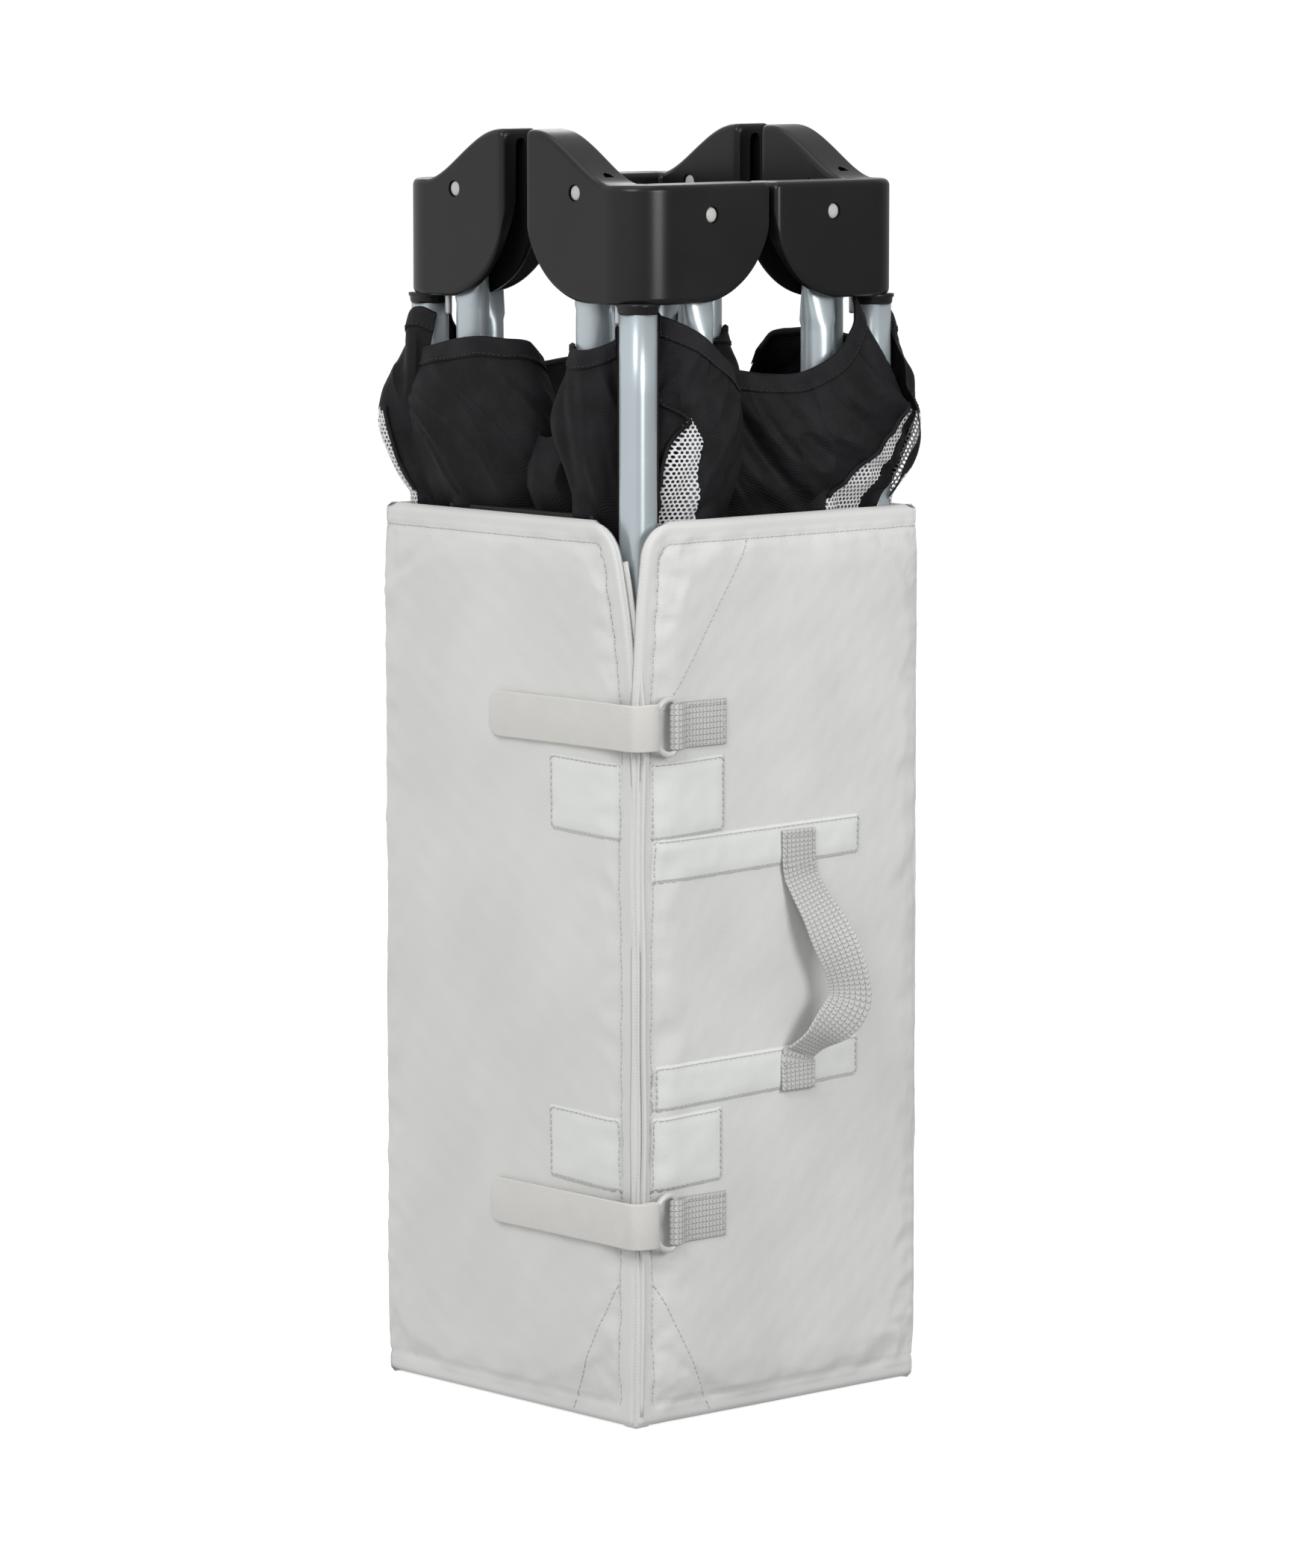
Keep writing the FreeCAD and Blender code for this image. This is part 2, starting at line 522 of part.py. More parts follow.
floor_low = "hub_height + hub_rise + soft_gap"
floor_block = box("floor_block", "floor_bunch / -2", "floor_bunch / -2", floor_low, "floor_bunch", "floor_bunch",
                  "floor_rise")
floor_hole = box("floor_hole", "pull_width / -2 - soft_gap", "pull_thick / -2 - pull_gap / 2 - soft_gap",
                 floor_low + " - cut_past", "pull_width + 2 * soft_gap", "pull_thick + pull_gap + 2 * soft_gap",
                 "floor_rise + 2 * cut_past")
node("floor_fabric", cut("floor", floor_block, [floor_hole]))


# ---- mat ------------------------------------------------------------------------------------------------------
def mat_panel(side):
    """A padded panel with mitred ends; it is drawn as the north panel and turned to its side."""
    name = "mat_" + side
    face = "mat_outer / 2"
    body, block = block_body(name, "mat_outer - 2 * mat_miter_gap", "mat_thick", "mat_height",
                             "mat_outer / -2 + mat_miter_gap", f"{face} - mat_thick", "0")
    inner = size("mat_outer") / 2 - size("mat_thick")
    mitre = body.newObject("PartDesign::Chamfer", name + "_mitre")
    mitre.Base = (block, upright_edges(block.Shape, lambda p: abs(p.y - inner) < 0.01))
    bind(mitre, Size="mat_thick - mat_miter_gap")
    doc.recompute()
    quarter = {"north": 0, "west": 90, "south": 180, "east": 270}[side]
    body.Placement = FreeCAD.Placement(FreeCAD.Vector(), FreeCAD.Rotation(Z_AXIS, quarter))
    node("mat_panel_" + side, body)


for side in ("west", "north", "east", "south"):
    mat_panel(side)

# ---- straps, rings and handle ---------------------------------------------------------------------------------
mat_face = "mat_outer / -2"
strap_face = f"{mat_face} - soft_gap - strap_thick"
ring_bar = f"{mat_face} + ring_inset"
ring_far = f"{mat_face} + ring_inset + ring_wide - ring_wire"
ring_y = f"{mat_face} - soft_gap - ring_wire / 2 - ring_lift"
for level in ("upper", "lower"):
    middle = f"{level}_strap"
    low = f"{middle} - strap_tall / 2"
    # the strap lies on the west panel, turns the corner and goes round the ring's near bar
    strap = cut(f"{level}_strap_cut", fuse(f"{level}_strap_solid", [
        box(f"{level}_strap_west", strap_face, strap_face, low, "strap_thick", "strap_length + strap_thick",
            "strap_tall"),
        box(f"{level}_strap_south", strap_face, f"{mat_face} - soft_gap - ring_wire - 2 * ring_lift", low,
            "ring_inset + strap_thick + soft_gap + ring_wire", "ring_wire + 2 * ring_lift", "strap_tall"),
    ]), [rod(f"{level}_strap_hole", "ring_wire / 2 + fit_gap", "strap_tall + 2 * cut_past", ring_bar, ring_y,
             f"{low} - cut_past")])
    node("strap_" + level, strap)
    # the ring: a closed D that lies against the south panel
    ring_low, ring_top = f"{middle} - ring_tall / 2", f"{middle} + ring_tall / 2"
    ring = fuse(f"{level}_ring", [
        rod(f"{level}_ring_near", "ring_wire / 2", "ring_tall - ring_wire", ring_bar, ring_y,
            f"{ring_low} + ring_wire / 2"),
        rod(f"{level}_ring_far", "ring_wire / 2", "ring_tall - ring_wire", ring_far, ring_y,
            f"{ring_low} + ring_wire / 2"),
        rod(f"{level}_ring_base", "ring_wire / 2", "ring_wide", f"{ring_bar} - ring_wire / 2", ring_y,
            f"{ring_low} + ring_wire / 2", "X"),
        rod(f"{level}_ring_top", "ring_wire / 2", "ring_wide", f"{ring_bar} - ring_wire / 2", ring_y,
            f"{ring_top} - ring_wire / 2", "X"),
    ])
    node("d_ring_" + level, ring)
    # the webbing loop that holds the ring's far bar
    loop_start = f"{ring_far} - ring_wire / 2 - loop_thick"
    loop = cut(f"{level}_loop_cut", fuse(f"{level}_loop_solid", [
        box(f"{level}_loop_flat", loop_start, f"{mat_face} - loop_seat", low, "loop_length", "loop_seat",
            "strap_tall"),
        box(f"{level}_loop_bend", loop_start, f"{ring_y} - ring_wire / 2 - loop_thick", low,
            "ring_wire + 2 * loop_thick", "ring_wire + 2 * loop_thick", "strap_tall"),
    ]), [rod(f"{level}_loop_hole", "ring_wire / 2 + fit_gap", "strap_tall + 2 * cut_past", ring_far, ring_y,
             f"{low} - cut_past")])
    node("ring_loop_" + level, loop)


def handle_shape():
    """A strip of webbing that stands off the south panel in a shallow bow, with flat ends to sew down."""
    face = -size("mat_outer") / 2
    low, high, bulge, thick = (size(a) for a in ("handle_low", "handle_high", "handle_bulge", "handle_thick"))
    side = face + size("handle_place") - size("handle_width") / 2
    place = lambda out, height: FreeCAD.Vector(side, face - out, height)
    flat, lead, crest, middle = size("handle_flat"), size("handle_lead"), size("handle_crest"), (low + high) / 2

    def bow(extra, reverse):
        start, end = place(extra, low + flat), place(extra, high - flat)
        poles = [start, place(extra, low + flat + lead), place(bulge + extra, middle - crest),
                 place(bulge + extra, middle + crest), place(extra, high - flat - lead), end]
        curve = Part.BSplineCurve()
        curve.buildFromPoles(poles[::-1] if reverse else poles, False, 3)
        return curve.toShape()

    edges = [bow(0, False), line(place(0, high - flat), place(0, high)), line(place(0, high), place(thick, high)),
             line(place(thick, high), place(thick, high - flat)), bow(thick, True),
             line(place(thick, low + flat), place(thick, low)), line(place(thick, low), place(0, low)),
             line(place(0, low), place(0, low + flat))]
    return Part.Face(Part.Wire(edges)).extrude(FreeCAD.Vector(size("handle_width"), 0, 0))


handle = doc.addObject("Part::Feature", "handle")
handle.Shape = handle_shape()
node("carry_handle", handle)

# ---- check and write ------------------------------------------------------------------------------------------
doc.recompute()
for thing in doc.Objects:
    if any(state in thing.State for state in ("Invalid", "Error")):
        raise RuntimeError(f"{thing.Name} did not build: {thing.getStatusString()}")
for thing in nodes:
    if thing.Shape.isNull() or not thing.Shape.isValid() or not thing.Shape.Solids:
        raise RuntimeError(f"{thing.Label} has no valid solid")
os.makedirs("parts", exist_ok=True)
for thing in nodes:
    thing.Shape.exportStep(f"parts/{thing.Label}.step")
print(len(nodes), "sub-parts")
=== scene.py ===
import math

import bmesh
import bpy
import numpy as np
from bpy.props import FloatProperty, FloatVectorProperty, IntProperty, PointerProperty
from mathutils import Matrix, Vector
from mathutils.bvhtree import BVHTree


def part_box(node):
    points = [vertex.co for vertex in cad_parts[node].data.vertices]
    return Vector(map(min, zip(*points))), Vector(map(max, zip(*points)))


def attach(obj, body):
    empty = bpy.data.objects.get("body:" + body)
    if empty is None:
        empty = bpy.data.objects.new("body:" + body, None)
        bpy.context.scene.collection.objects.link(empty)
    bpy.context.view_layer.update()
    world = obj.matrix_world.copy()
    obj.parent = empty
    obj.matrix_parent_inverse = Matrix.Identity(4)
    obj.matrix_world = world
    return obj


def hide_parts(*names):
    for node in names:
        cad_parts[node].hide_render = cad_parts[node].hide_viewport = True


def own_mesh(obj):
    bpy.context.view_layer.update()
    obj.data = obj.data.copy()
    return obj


bl_info = {
    "name": "Folded Playpen",
    "version": (1, 0, 0),
    "blender": (4, 5, 0),
    "location": "View3D > Sidebar > Playpen",
    "description": "Builds the looks of a folded playpen in its padded mat round the packed model",
    "category": "Add Mesh",
}

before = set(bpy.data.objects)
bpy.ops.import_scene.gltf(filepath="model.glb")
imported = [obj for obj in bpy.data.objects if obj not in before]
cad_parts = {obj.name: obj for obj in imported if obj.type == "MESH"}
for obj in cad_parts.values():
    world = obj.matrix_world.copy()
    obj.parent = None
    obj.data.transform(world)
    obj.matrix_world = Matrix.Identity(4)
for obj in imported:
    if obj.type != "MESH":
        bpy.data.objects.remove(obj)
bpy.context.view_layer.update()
MM = 0.001

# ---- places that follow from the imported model, in millimetres ------------------------------------


def node_box(node):
    """The lowest and highest corner of a node, in millimetres."""
    low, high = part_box(node)
    return np.array(low) / MM, np.array(high) / MM


CAP_LOW, CAP_HIGH = node_box("corner_cap_sw")
CAP_OUTSIDE = CAP_LOW[0]
CAP_THICK = 32.0
AXIS = -CAP_OUTSIDE - CAP_THICK / 2
RAIL_LONG_LOW, RAIL_LONG_HIGH = node_box("rail_long_sw")
RAIL_SHORT_LOW, RAIL_SHORT_HIGH = node_box("rail_short_sw")
LONG_PIN = (RAIL_LONG_LOW[0] + RAIL_LONG_HIGH[0]) / 2
SHORT_PIN = (RAIL_SHORT_LOW[1] + RAIL_SHORT_HIGH[1]) / 2
LONG_PIN_Z = RAIL_LONG_HIGH[2] - 12
SHORT_PIN_Z = RAIL_SHORT_HIGH[2] - 12
CAP_BASE = CAP_LOW[2] + 6
CAP_PEAK = CAP_HIGH[2]
CAP_TOP = LONG_PIN_Z + 20
MAT_FACE = -node_box("mat_panel_south")[0][1]
MAT_INNER = -node_box("mat_panel_south")[1][1]
MAT_TOP = node_box("mat_panel_south")[1][2]
# half the width that the cloth leaves free round a post or rail
TUBE_CLEAR = 13.5
PAINTED_TUBE = 22.0
RING_WIRE = 2.05
WEBBING_WIDE = 30
SEWN_HALF = 12.5
FLOOR_HALF, FLOOR_LEVEL = 60.0, -0.0005
STRAPS = {level: (node_box("strap_" + level)[0][2] + node_box("strap_" + level)[1][2]) / 2
          for level in ("upper", "lower")}
RING_LOW, RING_HIGH = node_box("d_ring_upper")
LOOP_HIGH = node_box("ring_loop_upper")[1]
HANDLE_LOW, HANDLE_HIGH = node_box("carry_handle")
CORNERS = {"sw": (1, 1), "se": (-1, 1), "nw": (1, -1), "ne": (-1, -1)}
# outward direction of each side, and the direction that runs along it away from the near corner
SIDES = {
    "south": (np.array((0, -1, 0)), np.array((1, 0, 0))),
    "west": (np.array((-1, 0, 0)), np.array((0, 1, 0))),
    "north": (np.array((0, 1, 0)), np.array((-1, 0, 0))),
    "east": (np.array((1, 0, 0)), np.array((0, -1, 0))),
}


def side_point(side, along, out, height):
    """A point of a side: its distance along the side, outwards from the middle, and up."""
    outward, run = SIDES[side]
    along, out, height = np.broadcast_arrays(along, out, height)
    return run * along[..., None] + outward * out[..., None] + np.array((0, 0, 1)) * height[..., None]


def smooth(low, high, value):
    t = np.clip((np.asarray(value, float) - low) / (high - low), 0, 1)
    return t * t * (3 - 2 * t)


def ripple(x, y, seed, scale):
    """A smooth, uneven wave over a surface, from -1 to 1, the same each time."""
    rng = np.random.default_rng(seed)
    total = np.zeros(np.broadcast(x, y).shape)
    for octave in range(5):
        turn, phase = rng.uniform(0, 2 * math.pi, 2)
        reach = scale * rng.uniform(0.7, 1.4) / (1 + 0.6 * octave)
        wave = (x * math.cos(turn) + y * math.sin(turn)) * 2 * math.pi / reach + phase
        total += np.sin(wave) / (1 + 0.7 * octave)
    return total / 2.4


# ---- settings ------------------------------------------------------------------------------------


def colour(name, description, value):
    return FloatVectorProperty(name=name, description=description, subtype="COLOR", size=3, min=0, max=1,
                               default=value)


def length(name, description, value):
    return FloatProperty(name=name, description=description, subtype="DISTANCE", unit="LENGTH", default=value)


class PlaypenFrameSettings(bpy.types.PropertyGroup):
    cap_round: length("Cap corner radius", "Radius of the upright corner of a cap", 0.028)
    cap_edge: length("Cap edge radius", "Radius along the outlines of a cap", 0.0045)
    cap_arm_round: length("Cap arm radius", "Radius of the lower end of a cap's arms", 0.060)
    cap_black: colour("Cap black", "Moulded black plastic", (0.009, 0.009, 0.009))
    paint_grey: colour("Paint", "Pale blue-grey paint of posts and rails", (0.47, 0.53, 0.56))
    pin_grey: colour("Pins", "Pale rivet pins", (0.47, 0.48, 0.46))


class PlaypenMatSettings(bpy.types.PropertyGroup):
    hem_width: length("Hem width", "Width of the stitched hem along the top and the seam", 0.013)
    stitch_step: length("Stitch step", "Distance from one stitch to the next", 0.0042)
    seam_open: length("Seam opening", "How far the top of the seam stands open", 0.024)
    mat_grey: colour("Mat", "Pale grey padded cloth", (0.615, 0.617, 0.602))
    trim_grey: colour("Trim", "Lighter patches and bands", (0.655, 0.668, 0.655))
    tape_grey: colour("Tape", "Hook-and-loop tape", (0.60, 0.585, 0.555))
    webbing_grey: colour("Webbing", "Woven webbing", (0.487, 0.487, 0.475))
    panel_rows: IntProperty(name="Panel rows", description="Rows of cloth in the pad simulation", default=96)


class PlaypenClothSettings(bpy.types.PropertyGroup):
    cloth_black: colour("Cloth black", "Black polyester of walls and floor", (0.0075, 0.0068, 0.0080))
    net_white: colour("Net", "Openwork net of the windows", (0.66, 0.66, 0.67))
    net_hole: length("Net hole", "Width of one hexagonal hole of the net", 0.0031)


# ---- shader maths --------------------------------------------------------------------------------


class Value:
    """A node's output socket that takes part in Python expressions."""

    def __init__(self, shader, socket):
        self.shader, self.socket = shader, socket

    def _math(self, operation, *others):
        return self.shader.node("ShaderNodeMath", {"operation": operation}, [self, *others])

    def __add__(self, other):
        return self._math("ADD", other)

    def __sub__(self, other):
        return self._math("SUBTRACT", other)

    def __rsub__(self, other):
        return self._math("MULTIPLY_ADD", -1.0, other)

    def __mul__(self, other):
        return self._math("MULTIPLY", other)

    def __truediv__(self, other):
        return self._math("DIVIDE", other)

    def __pow__(self, other):
        return self._math("POWER", other)

    __radd__, __rmul__ = __add__, __mul__

    def sine(self):
        return self._math("SINE")

    def fraction(self):
        return self._math("FRACT")

    def absolute(self):
        return self._math("ABSOLUTE")

    def highest(self, other):
        return self._math("MAXIMUM", other)

    def lowest(self, other):
        return self._math("MINIMUM", other)

    def step(self, low, high):
        return self.shader.node("ShaderNodeMapRange", {"interpolation_type": "SMOOTHSTEP"},
                                {"Value": self, "From Min": low, "From Max": high})


class Shader:
    """A material with one Principled shader, and the ways to feed it."""

    def __init__(self, name, **fixed):
        self.material = bpy.data.materials.new(name)
        self.material.use_nodes = True
        self.tree = self.material.node_tree
        self.surface = self.tree.nodes["Principled BSDF"]
        for socket, value in fixed.items():
            self.surface.inputs[socket.replace("_", " ")].default_value = value

    def node(self, kind, settings=None, values=(), output=0):
        made = self.tree.nodes.new(kind)
        for name, value in (settings or {}).items():
            setattr(made, name, value)
        pairs = values.items() if isinstance(values, dict) else enumerate(values)
        for key, value in pairs:
            if isinstance(value, Value):
                self.tree.links.new(value.socket, made.inputs[key])
            else:
                made.inputs[key].default_value = value
        return Value(self, made.outputs[output])

    def place(self, scale=1.0, kind="Object"):
        """The surface's own coordinates, enlarged."""
        found = self.node("ShaderNodeTexCoord", output=kind)
        return self.node("ShaderNodeVectorMath", {"operation": "SCALE"}, {0: found, "Scale": scale})

    def parts(self, vector):
        split = self.tree.nodes.new("ShaderNodeSeparateXYZ")
        self.tree.links.new(vector.socket, split.inputs[0])
        return [Value(self, socket) for socket in split.outputs]

    def noise(self, vector, scale, detail=2.0, roughness=0.5):
        return self.node("ShaderNodeTexNoise", {}, {"Vector": vector, "Scale": scale, "Detail": detail,
                                                    "Roughness": roughness})

    def mix(self, factor, first, second):
        made = self.tree.nodes.new("ShaderNodeMix")
        made.data_type = "RGBA"
        for socket, value in ((made.inputs[0], factor), (made.inputs[6], first), (made.inputs[7], second)):
            if isinstance(value, Value):
                self.tree.links.new(value.socket, socket)
            else:
                socket.default_value = value
        return Value(self, made.outputs[2])

    def feed(self, socket, value):
        self.tree.links.new(value.socket, self.surface.inputs[socket])

    def bump(self, height, strength, distance):
        made = self.node("ShaderNodeBump", {}, {"Height": height, "Strength": strength, "Distance": distance})
        self.feed("Normal", made)


def shade(rgb, factor):
    return (*[min(1.0, c * factor) for c in rgb], 1.0)


def cloth_material(name, rgb, threads=900.0, depth=0.35, roughness=0.75, sheen=0.12, vary=0.05):
    """Plain-woven cloth: crossing threads at a real scale, soft patches of tone, and a faint sheen."""
    mat = Shader(name, Sheen_Weight=sheen, Sheen_Roughness=0.45, Specular_IOR_Level=0.35)
    x, y, z = mat.parts(mat.place(threads * math.pi))
    warp = (x + y).sine()
    weft = z.sine()
    weave = warp * weft
    slub = mat.noise(mat.place(), 420.0, 2.0)
    patch = mat.noise(mat.place(), 9.0, 3.0)
    tone = (patch.step(0.3, 0.7) * 0.75 + slub * 0.25)
    mat.feed("Base Color", mat.mix(tone, shade(rgb, 1 - vary), shade(rgb, 1 + vary)))
    mat.feed("Roughness", slub * 0.12 + (roughness - 0.06))
    mat.bump(weave * 0.5 + slub * 0.8, depth, 0.00025)
    return mat.material


def black_cloth_material(name, rgb):
    """Tight black polyester: a fine twill that catches a soft light, with creases in its bump and painted
    light in its tone: painted highlight on their ridges, painted shade in their hollows.
    """
    mat = Shader(name, Sheen_Weight=0.05, Sheen_Roughness=0.35, Specular_IOR_Level=0.16)
    mat.surface.inputs["Sheen Tint"].default_value = (0.55, 0.5, 0.56, 1)
    x, y, z = mat.parts(mat.place(2600.0))
    twill = (x + y + z * 1.7).sine()
    slub = mat.noise(mat.place(), 700.0, 2.0)
    crease_and_painted_shade = mat.noise(mat.place(), 38.0, 4.0, 0.6)
    # painted light: the colour is lighter on the crease ridges and darker in their hollows, after the same
    # noise as the bump
    mat.feed("Base Color", mat.mix(crease_and_painted_shade.step(0.35, 0.7), shade(rgb, 0.8), shade(rgb, 1.5)))
    mat.feed("Roughness", slub * 0.2 + 0.5)
    mat.bump(twill * 0.35 + slub * 0.5 + crease_and_painted_shade * 3.0, 0.4, 0.0005)
    return mat.material


def net_material(name, rgb, hole):
    """Openwork net: staggered hexagonal holes with rounded threads between them, with painted shade at the
    threads' edges by the holes and a painted highlight along their middles.
    """
    mat = Shader(name, Roughness=0.55)
    u, v, _ = mat.parts(mat.place(1.0, "UV"))
    rows = hole * 0.866
    along, across = u / hole, v / rows
    cell = []
    for shift in (0.0, 0.5):
        x = (along + shift).fraction() - 0.5
        y = ((across + shift * 2) * 0.5).fraction() * 2 - 1
        cell.append((x * x + y * y * 0.75) ** 0.5)
    reach = cell[0].lowest(cell[1])
    thread = reach.step(0.30, 0.37)
    mat.feed("Alpha", thread)
    # painted light: each thread is darker at its edge by a hole and lighter along its middle, after the same
    # reach as the bump
    mat.feed("Base Color", mat.mix(reach.step(0.3, 0.55), shade(rgb, 0.8), shade(rgb, 1.15)))
    mat.bump(reach, 0.5, 0.0004)
    return mat.material


def webbing_material(name, rgb):
    """Woven tape: two columns of slanted threads that meet in chevrons, with painted shade in the grooves
    between them and random darker flecks.
    """
    mat = Shader(name, Roughness=0.8, Sheen_Weight=0.15)
    u, v, _ = mat.parts(mat.place(1.0, "UV"))
    columns = (v / 0.0037).fraction()
    slant = (columns - 0.5).absolute()
    rows = (u / 0.0030 + slant * 0.9).fraction()
    gap = (rows - 0.5).absolute().step(0.36, 0.48)
    valley = slant.step(0.40, 0.5)
    fleck = mat.noise(mat.place(), 1500.0, 2.0)
    # painted shade: the gaps and valleys between the threads, which the bump sets low, are coloured darker
    dark = gap.highest(valley) * 0.8
    mat.feed("Base Color", mat.mix(dark + fleck * 0.2, shade(rgb, 1.12), shade(rgb, 0.62)))
    mat.bump((1 - dark) + fleck * 0.3, 0.7, 0.0007)
    return mat.material


def tape_material(name, rgb):
    """Brushed loop tape: a matt nap with fine fuzz and a woven margin."""
    mat = Shader(name, Roughness=0.95, Sheen_Weight=0.35, Sheen_Roughness=0.6, Specular_IOR_Level=0.2)
    fuzz = mat.noise(mat.place(), 900.0, 4.0, 0.7)
    worn = mat.noise(mat.place(), 60.0, 3.0)
    mat.feed("Base Color", mat.mix(fuzz * 0.6 + worn * 0.4, shade(rgb, 0.86), shade(rgb, 1.1)))
    mat.bump(fuzz + worn * 0.6, 0.6, 0.0006)
    return mat.material


def plastic_material(name, rgb, roughness, grain=0.12, coat=0.1, gloss=0.5):
    """Moulded plastic: a fine spark-eroded grain and slightly uneven gloss."""
    mat = Shader(name, Coat_Weight=coat, Coat_Roughness=0.15, Specular_IOR_Level=gloss)
    grainy = mat.noise(mat.place(), 2200.0, 2.0)
    worn = mat.noise(mat.place(), 22.0, 3.0)
    mat.feed("Base Color", mat.mix(worn.step(0.3, 0.75), shade(rgb, 0.92), shade(rgb, 1.1)))
    mat.feed("Roughness", worn * 0.1 + (roughness - 0.05))
    mat.bump(grainy, grain, 0.0002)
    return mat.material


def paint_material(name, rgb):
    """Satin powder coat over steel, with a faint orange-peel ripple."""
    mat = Shader(name, Metallic=0.55, Coat_Weight=0.3, Coat_Roughness=0.2)
    peel = mat.noise(mat.place(), 900.0, 2.0)
    cloud = mat.noise(mat.place(), 14.0, 2.0)
    mat.feed("Base Color", mat.mix(cloud, shade(rgb, 0.94), shade(rgb, 1.06)))
    mat.feed("Roughness", cloud * 0.1 + 0.28)
    mat.bump(peel, 0.08, 0.0002)
    return mat.material


def metal_material(name, rgb, roughness):
    mat = Shader(name, Metallic=0.85)
    brushed = mat.noise(mat.place(), 1200.0, 3.0)
    mat.feed("Base Color", mat.mix(brushed, shade(rgb, 0.85), shade(rgb, 1.1)))
    mat.feed("Roughness", brushed * 0.2 + (roughness - 0.1))
    mat.bump(brushed, 0.15, 0.0002)
    return mat.material


MATERIALS = {}


def make_materials():
    scene = bpy.context.scene
    steel, mat, cloth = scene.playpen_frame, scene.playpen_mat, scene.playpen_cloth
    MATERIALS.update(
        cap=plastic_material("cap black plastic", steel.cap_black, 0.30, 0.06, 0.0, 0.32),
        dark=plastic_material("foot and hub plastic", (0.018, 0.018, 0.019), 0.5, 0.25, 0.0, 0.3),
        slot=plastic_material("slot shadow", (0.005, 0.005, 0.005), 0.7, 0.1, 0.0, 0.15),
        paint=paint_material("pale powder coat", steel.paint_grey),
        pin=plastic_material("pale rivet", steel.pin_grey, 0.4, 0.15, 0.1),
        zinc=metal_material("zinc stud", (0.6, 0.62, 0.64), 0.35),
        mat=cloth_material("mat cloth", mat.mat_grey),
        trim=cloth_material("trim cloth", mat.trim_grey, 900.0, 0.3, 0.7, 0.12, 0.03),
        thread=cloth_material("sewing thread", shade(mat.mat_grey, 0.86)[:3], 3000.0, 0.5, 0.6, 0.1, 0.05),
        tape=tape_material("brushed tape", mat.tape_grey),
        ring=plastic_material("grey ring", (0.53, 0.535, 0.525), 0.32, 0.08, 0.2),
        webbing=webbing_material("woven webbing", mat.webbing_grey),
        cloth=black_cloth_material("black polyester", cloth.cloth_black),
        hem=black_cloth_material("black hem", shade(cloth.cloth_black, 1.25)[:3]),
        net=net_material("window net", cloth.net_white, cloth.net_hole),
        black_thread=cloth_material("black thread", (0.012, 0.011, 0.012), 3000.0, 0.5, 0.6, 0.1, 0.1),
    )


# ---- making meshes -------------------------------------------------------------------------------


def add_object(name, data):
    made = bpy.data.objects.new(name, data)
    bpy.context.scene.collection.objects.link(made)
    return made


def piece(name, points, faces, materials, uvs=None, face_slots=None):
    """A mesh object from points in millimetres. uvs holds one (u, v) for each point, in metres."""
    mesh = bpy.data.meshes.new(name)
    mesh.from_pydata((np.asarray(points, float) * MM).tolist(), [], [tuple(int(i) for i in f) for f in faces])
    if uvs is not None:
        layer = mesh.uv_layers.new(name="UVMap")
        where = np.zeros(len(mesh.loops), int)
        mesh.loops.foreach_get("vertex_index", where)
        layer.data.foreach_set("uv", np.asarray(uvs, float)[where].ravel())
    for material in materials if isinstance(materials, (list, tuple)) else [materials]:
        mesh.materials.append(MATERIALS[material])
    if face_slots is not None:
        mesh.polygons.foreach_set("material_index", [int(i) for i in face_slots])
    mesh.polygons.foreach_set("use_smooth", [True] * len(mesh.polygons))
    return add_object(name, mesh)


def grid_faces(rows, columns, closed=False, start=0, flip=False):
    """Quads between the points of a grid that is stored row by row."""
    faces = []
    wide = columns if closed else columns - 1
    for r in range(rows - 1):
        for c in range(wide):
            d = (c + 1) % columns
            quad = (start + r * columns + c, start + r * columns + d, start + (r + 1) * columns + d,
                    start + (r + 1) * columns + c)
            faces.append(quad[::-1] if flip else quad)
    return faces


def closed_faces(rows, columns):
    """Faces of two matching grids, the second turned round, with a wall between their borders."""
    count = rows * columns
    border = list(range(columns)) + [r * columns + columns - 1 for r in range(1, rows)]
    border += [(rows - 1) * columns + c for c in range(columns - 2, -1, -1)]
    border += [r * columns for r in range(rows - 2, 0, -1)]
    walls = [(j, i, i + count, j + count) for i, j in zip(border, border[1:] + border[:1])]
    return grid_faces(rows, columns) + grid_faces(rows, columns, start=count, flip=True) + walls


def grid_normals(grid):
    """The direction square to a grid of points, at each of them."""
    normal = np.cross(np.gradient(grid, axis=1), np.gradient(grid, axis=0))
    return normal / np.maximum(np.linalg.norm(normal, axis=2), 1e-6)[..., None]


def path_run(path):
    """The distance along a path up to each of its points."""
    return np.concatenate([[0], np.cumsum(np.linalg.norm(np.diff(path, axis=0), axis=1))])


def circle(radius, count):
    angles = np.linspace(0, 2 * math.pi, count, endpoint=False)
    return [(radius * math.cos(a), radius * math.sin(a)) for a in angles]


def outward(made):
    """Turns every face outwards on a closed or simple mesh."""
    work = bmesh.new()
    work.from_mesh(made.data)
    bmesh.ops.recalc_face_normals(work, faces=work.faces)
    work.to_mesh(made.data)
    work.free()
    return made


def finish_modifiers(made):
    """Turns the object's modifiers into plain mesh."""
    evaluated = made.evaluated_get(bpy.context.evaluated_depsgraph_get())
    mesh = bpy.data.meshes.new_from_object(evaluated)
    made.modifiers.clear()
    made.data = mesh
    return made


def thicken(made, thickness, offset=1.0):
    modifier = made.modifiers.new("thickness", "SOLIDIFY")
    modifier.thickness = thickness * MM
    modifier.offset = offset
    return finish_modifiers(made)


def mirror_points(points, signs):
    return np.asarray(points) * np.array((signs[0], signs[1], 1.0))


def loft(name, rings, material, uvs=None, cap=True):
    """A closed skin through rings of points, with flat ends."""
    rings = np.asarray(rings, float)
    count, around = rings.shape[:2]
    faces = grid_faces(count, around, closed=True)
    if cap:
        faces += [tuple(range(around))[::-1], tuple(range((count - 1) * around, count * around))]
    return outward(piece(name, rings.reshape(-1, 3), faces, material, uvs))


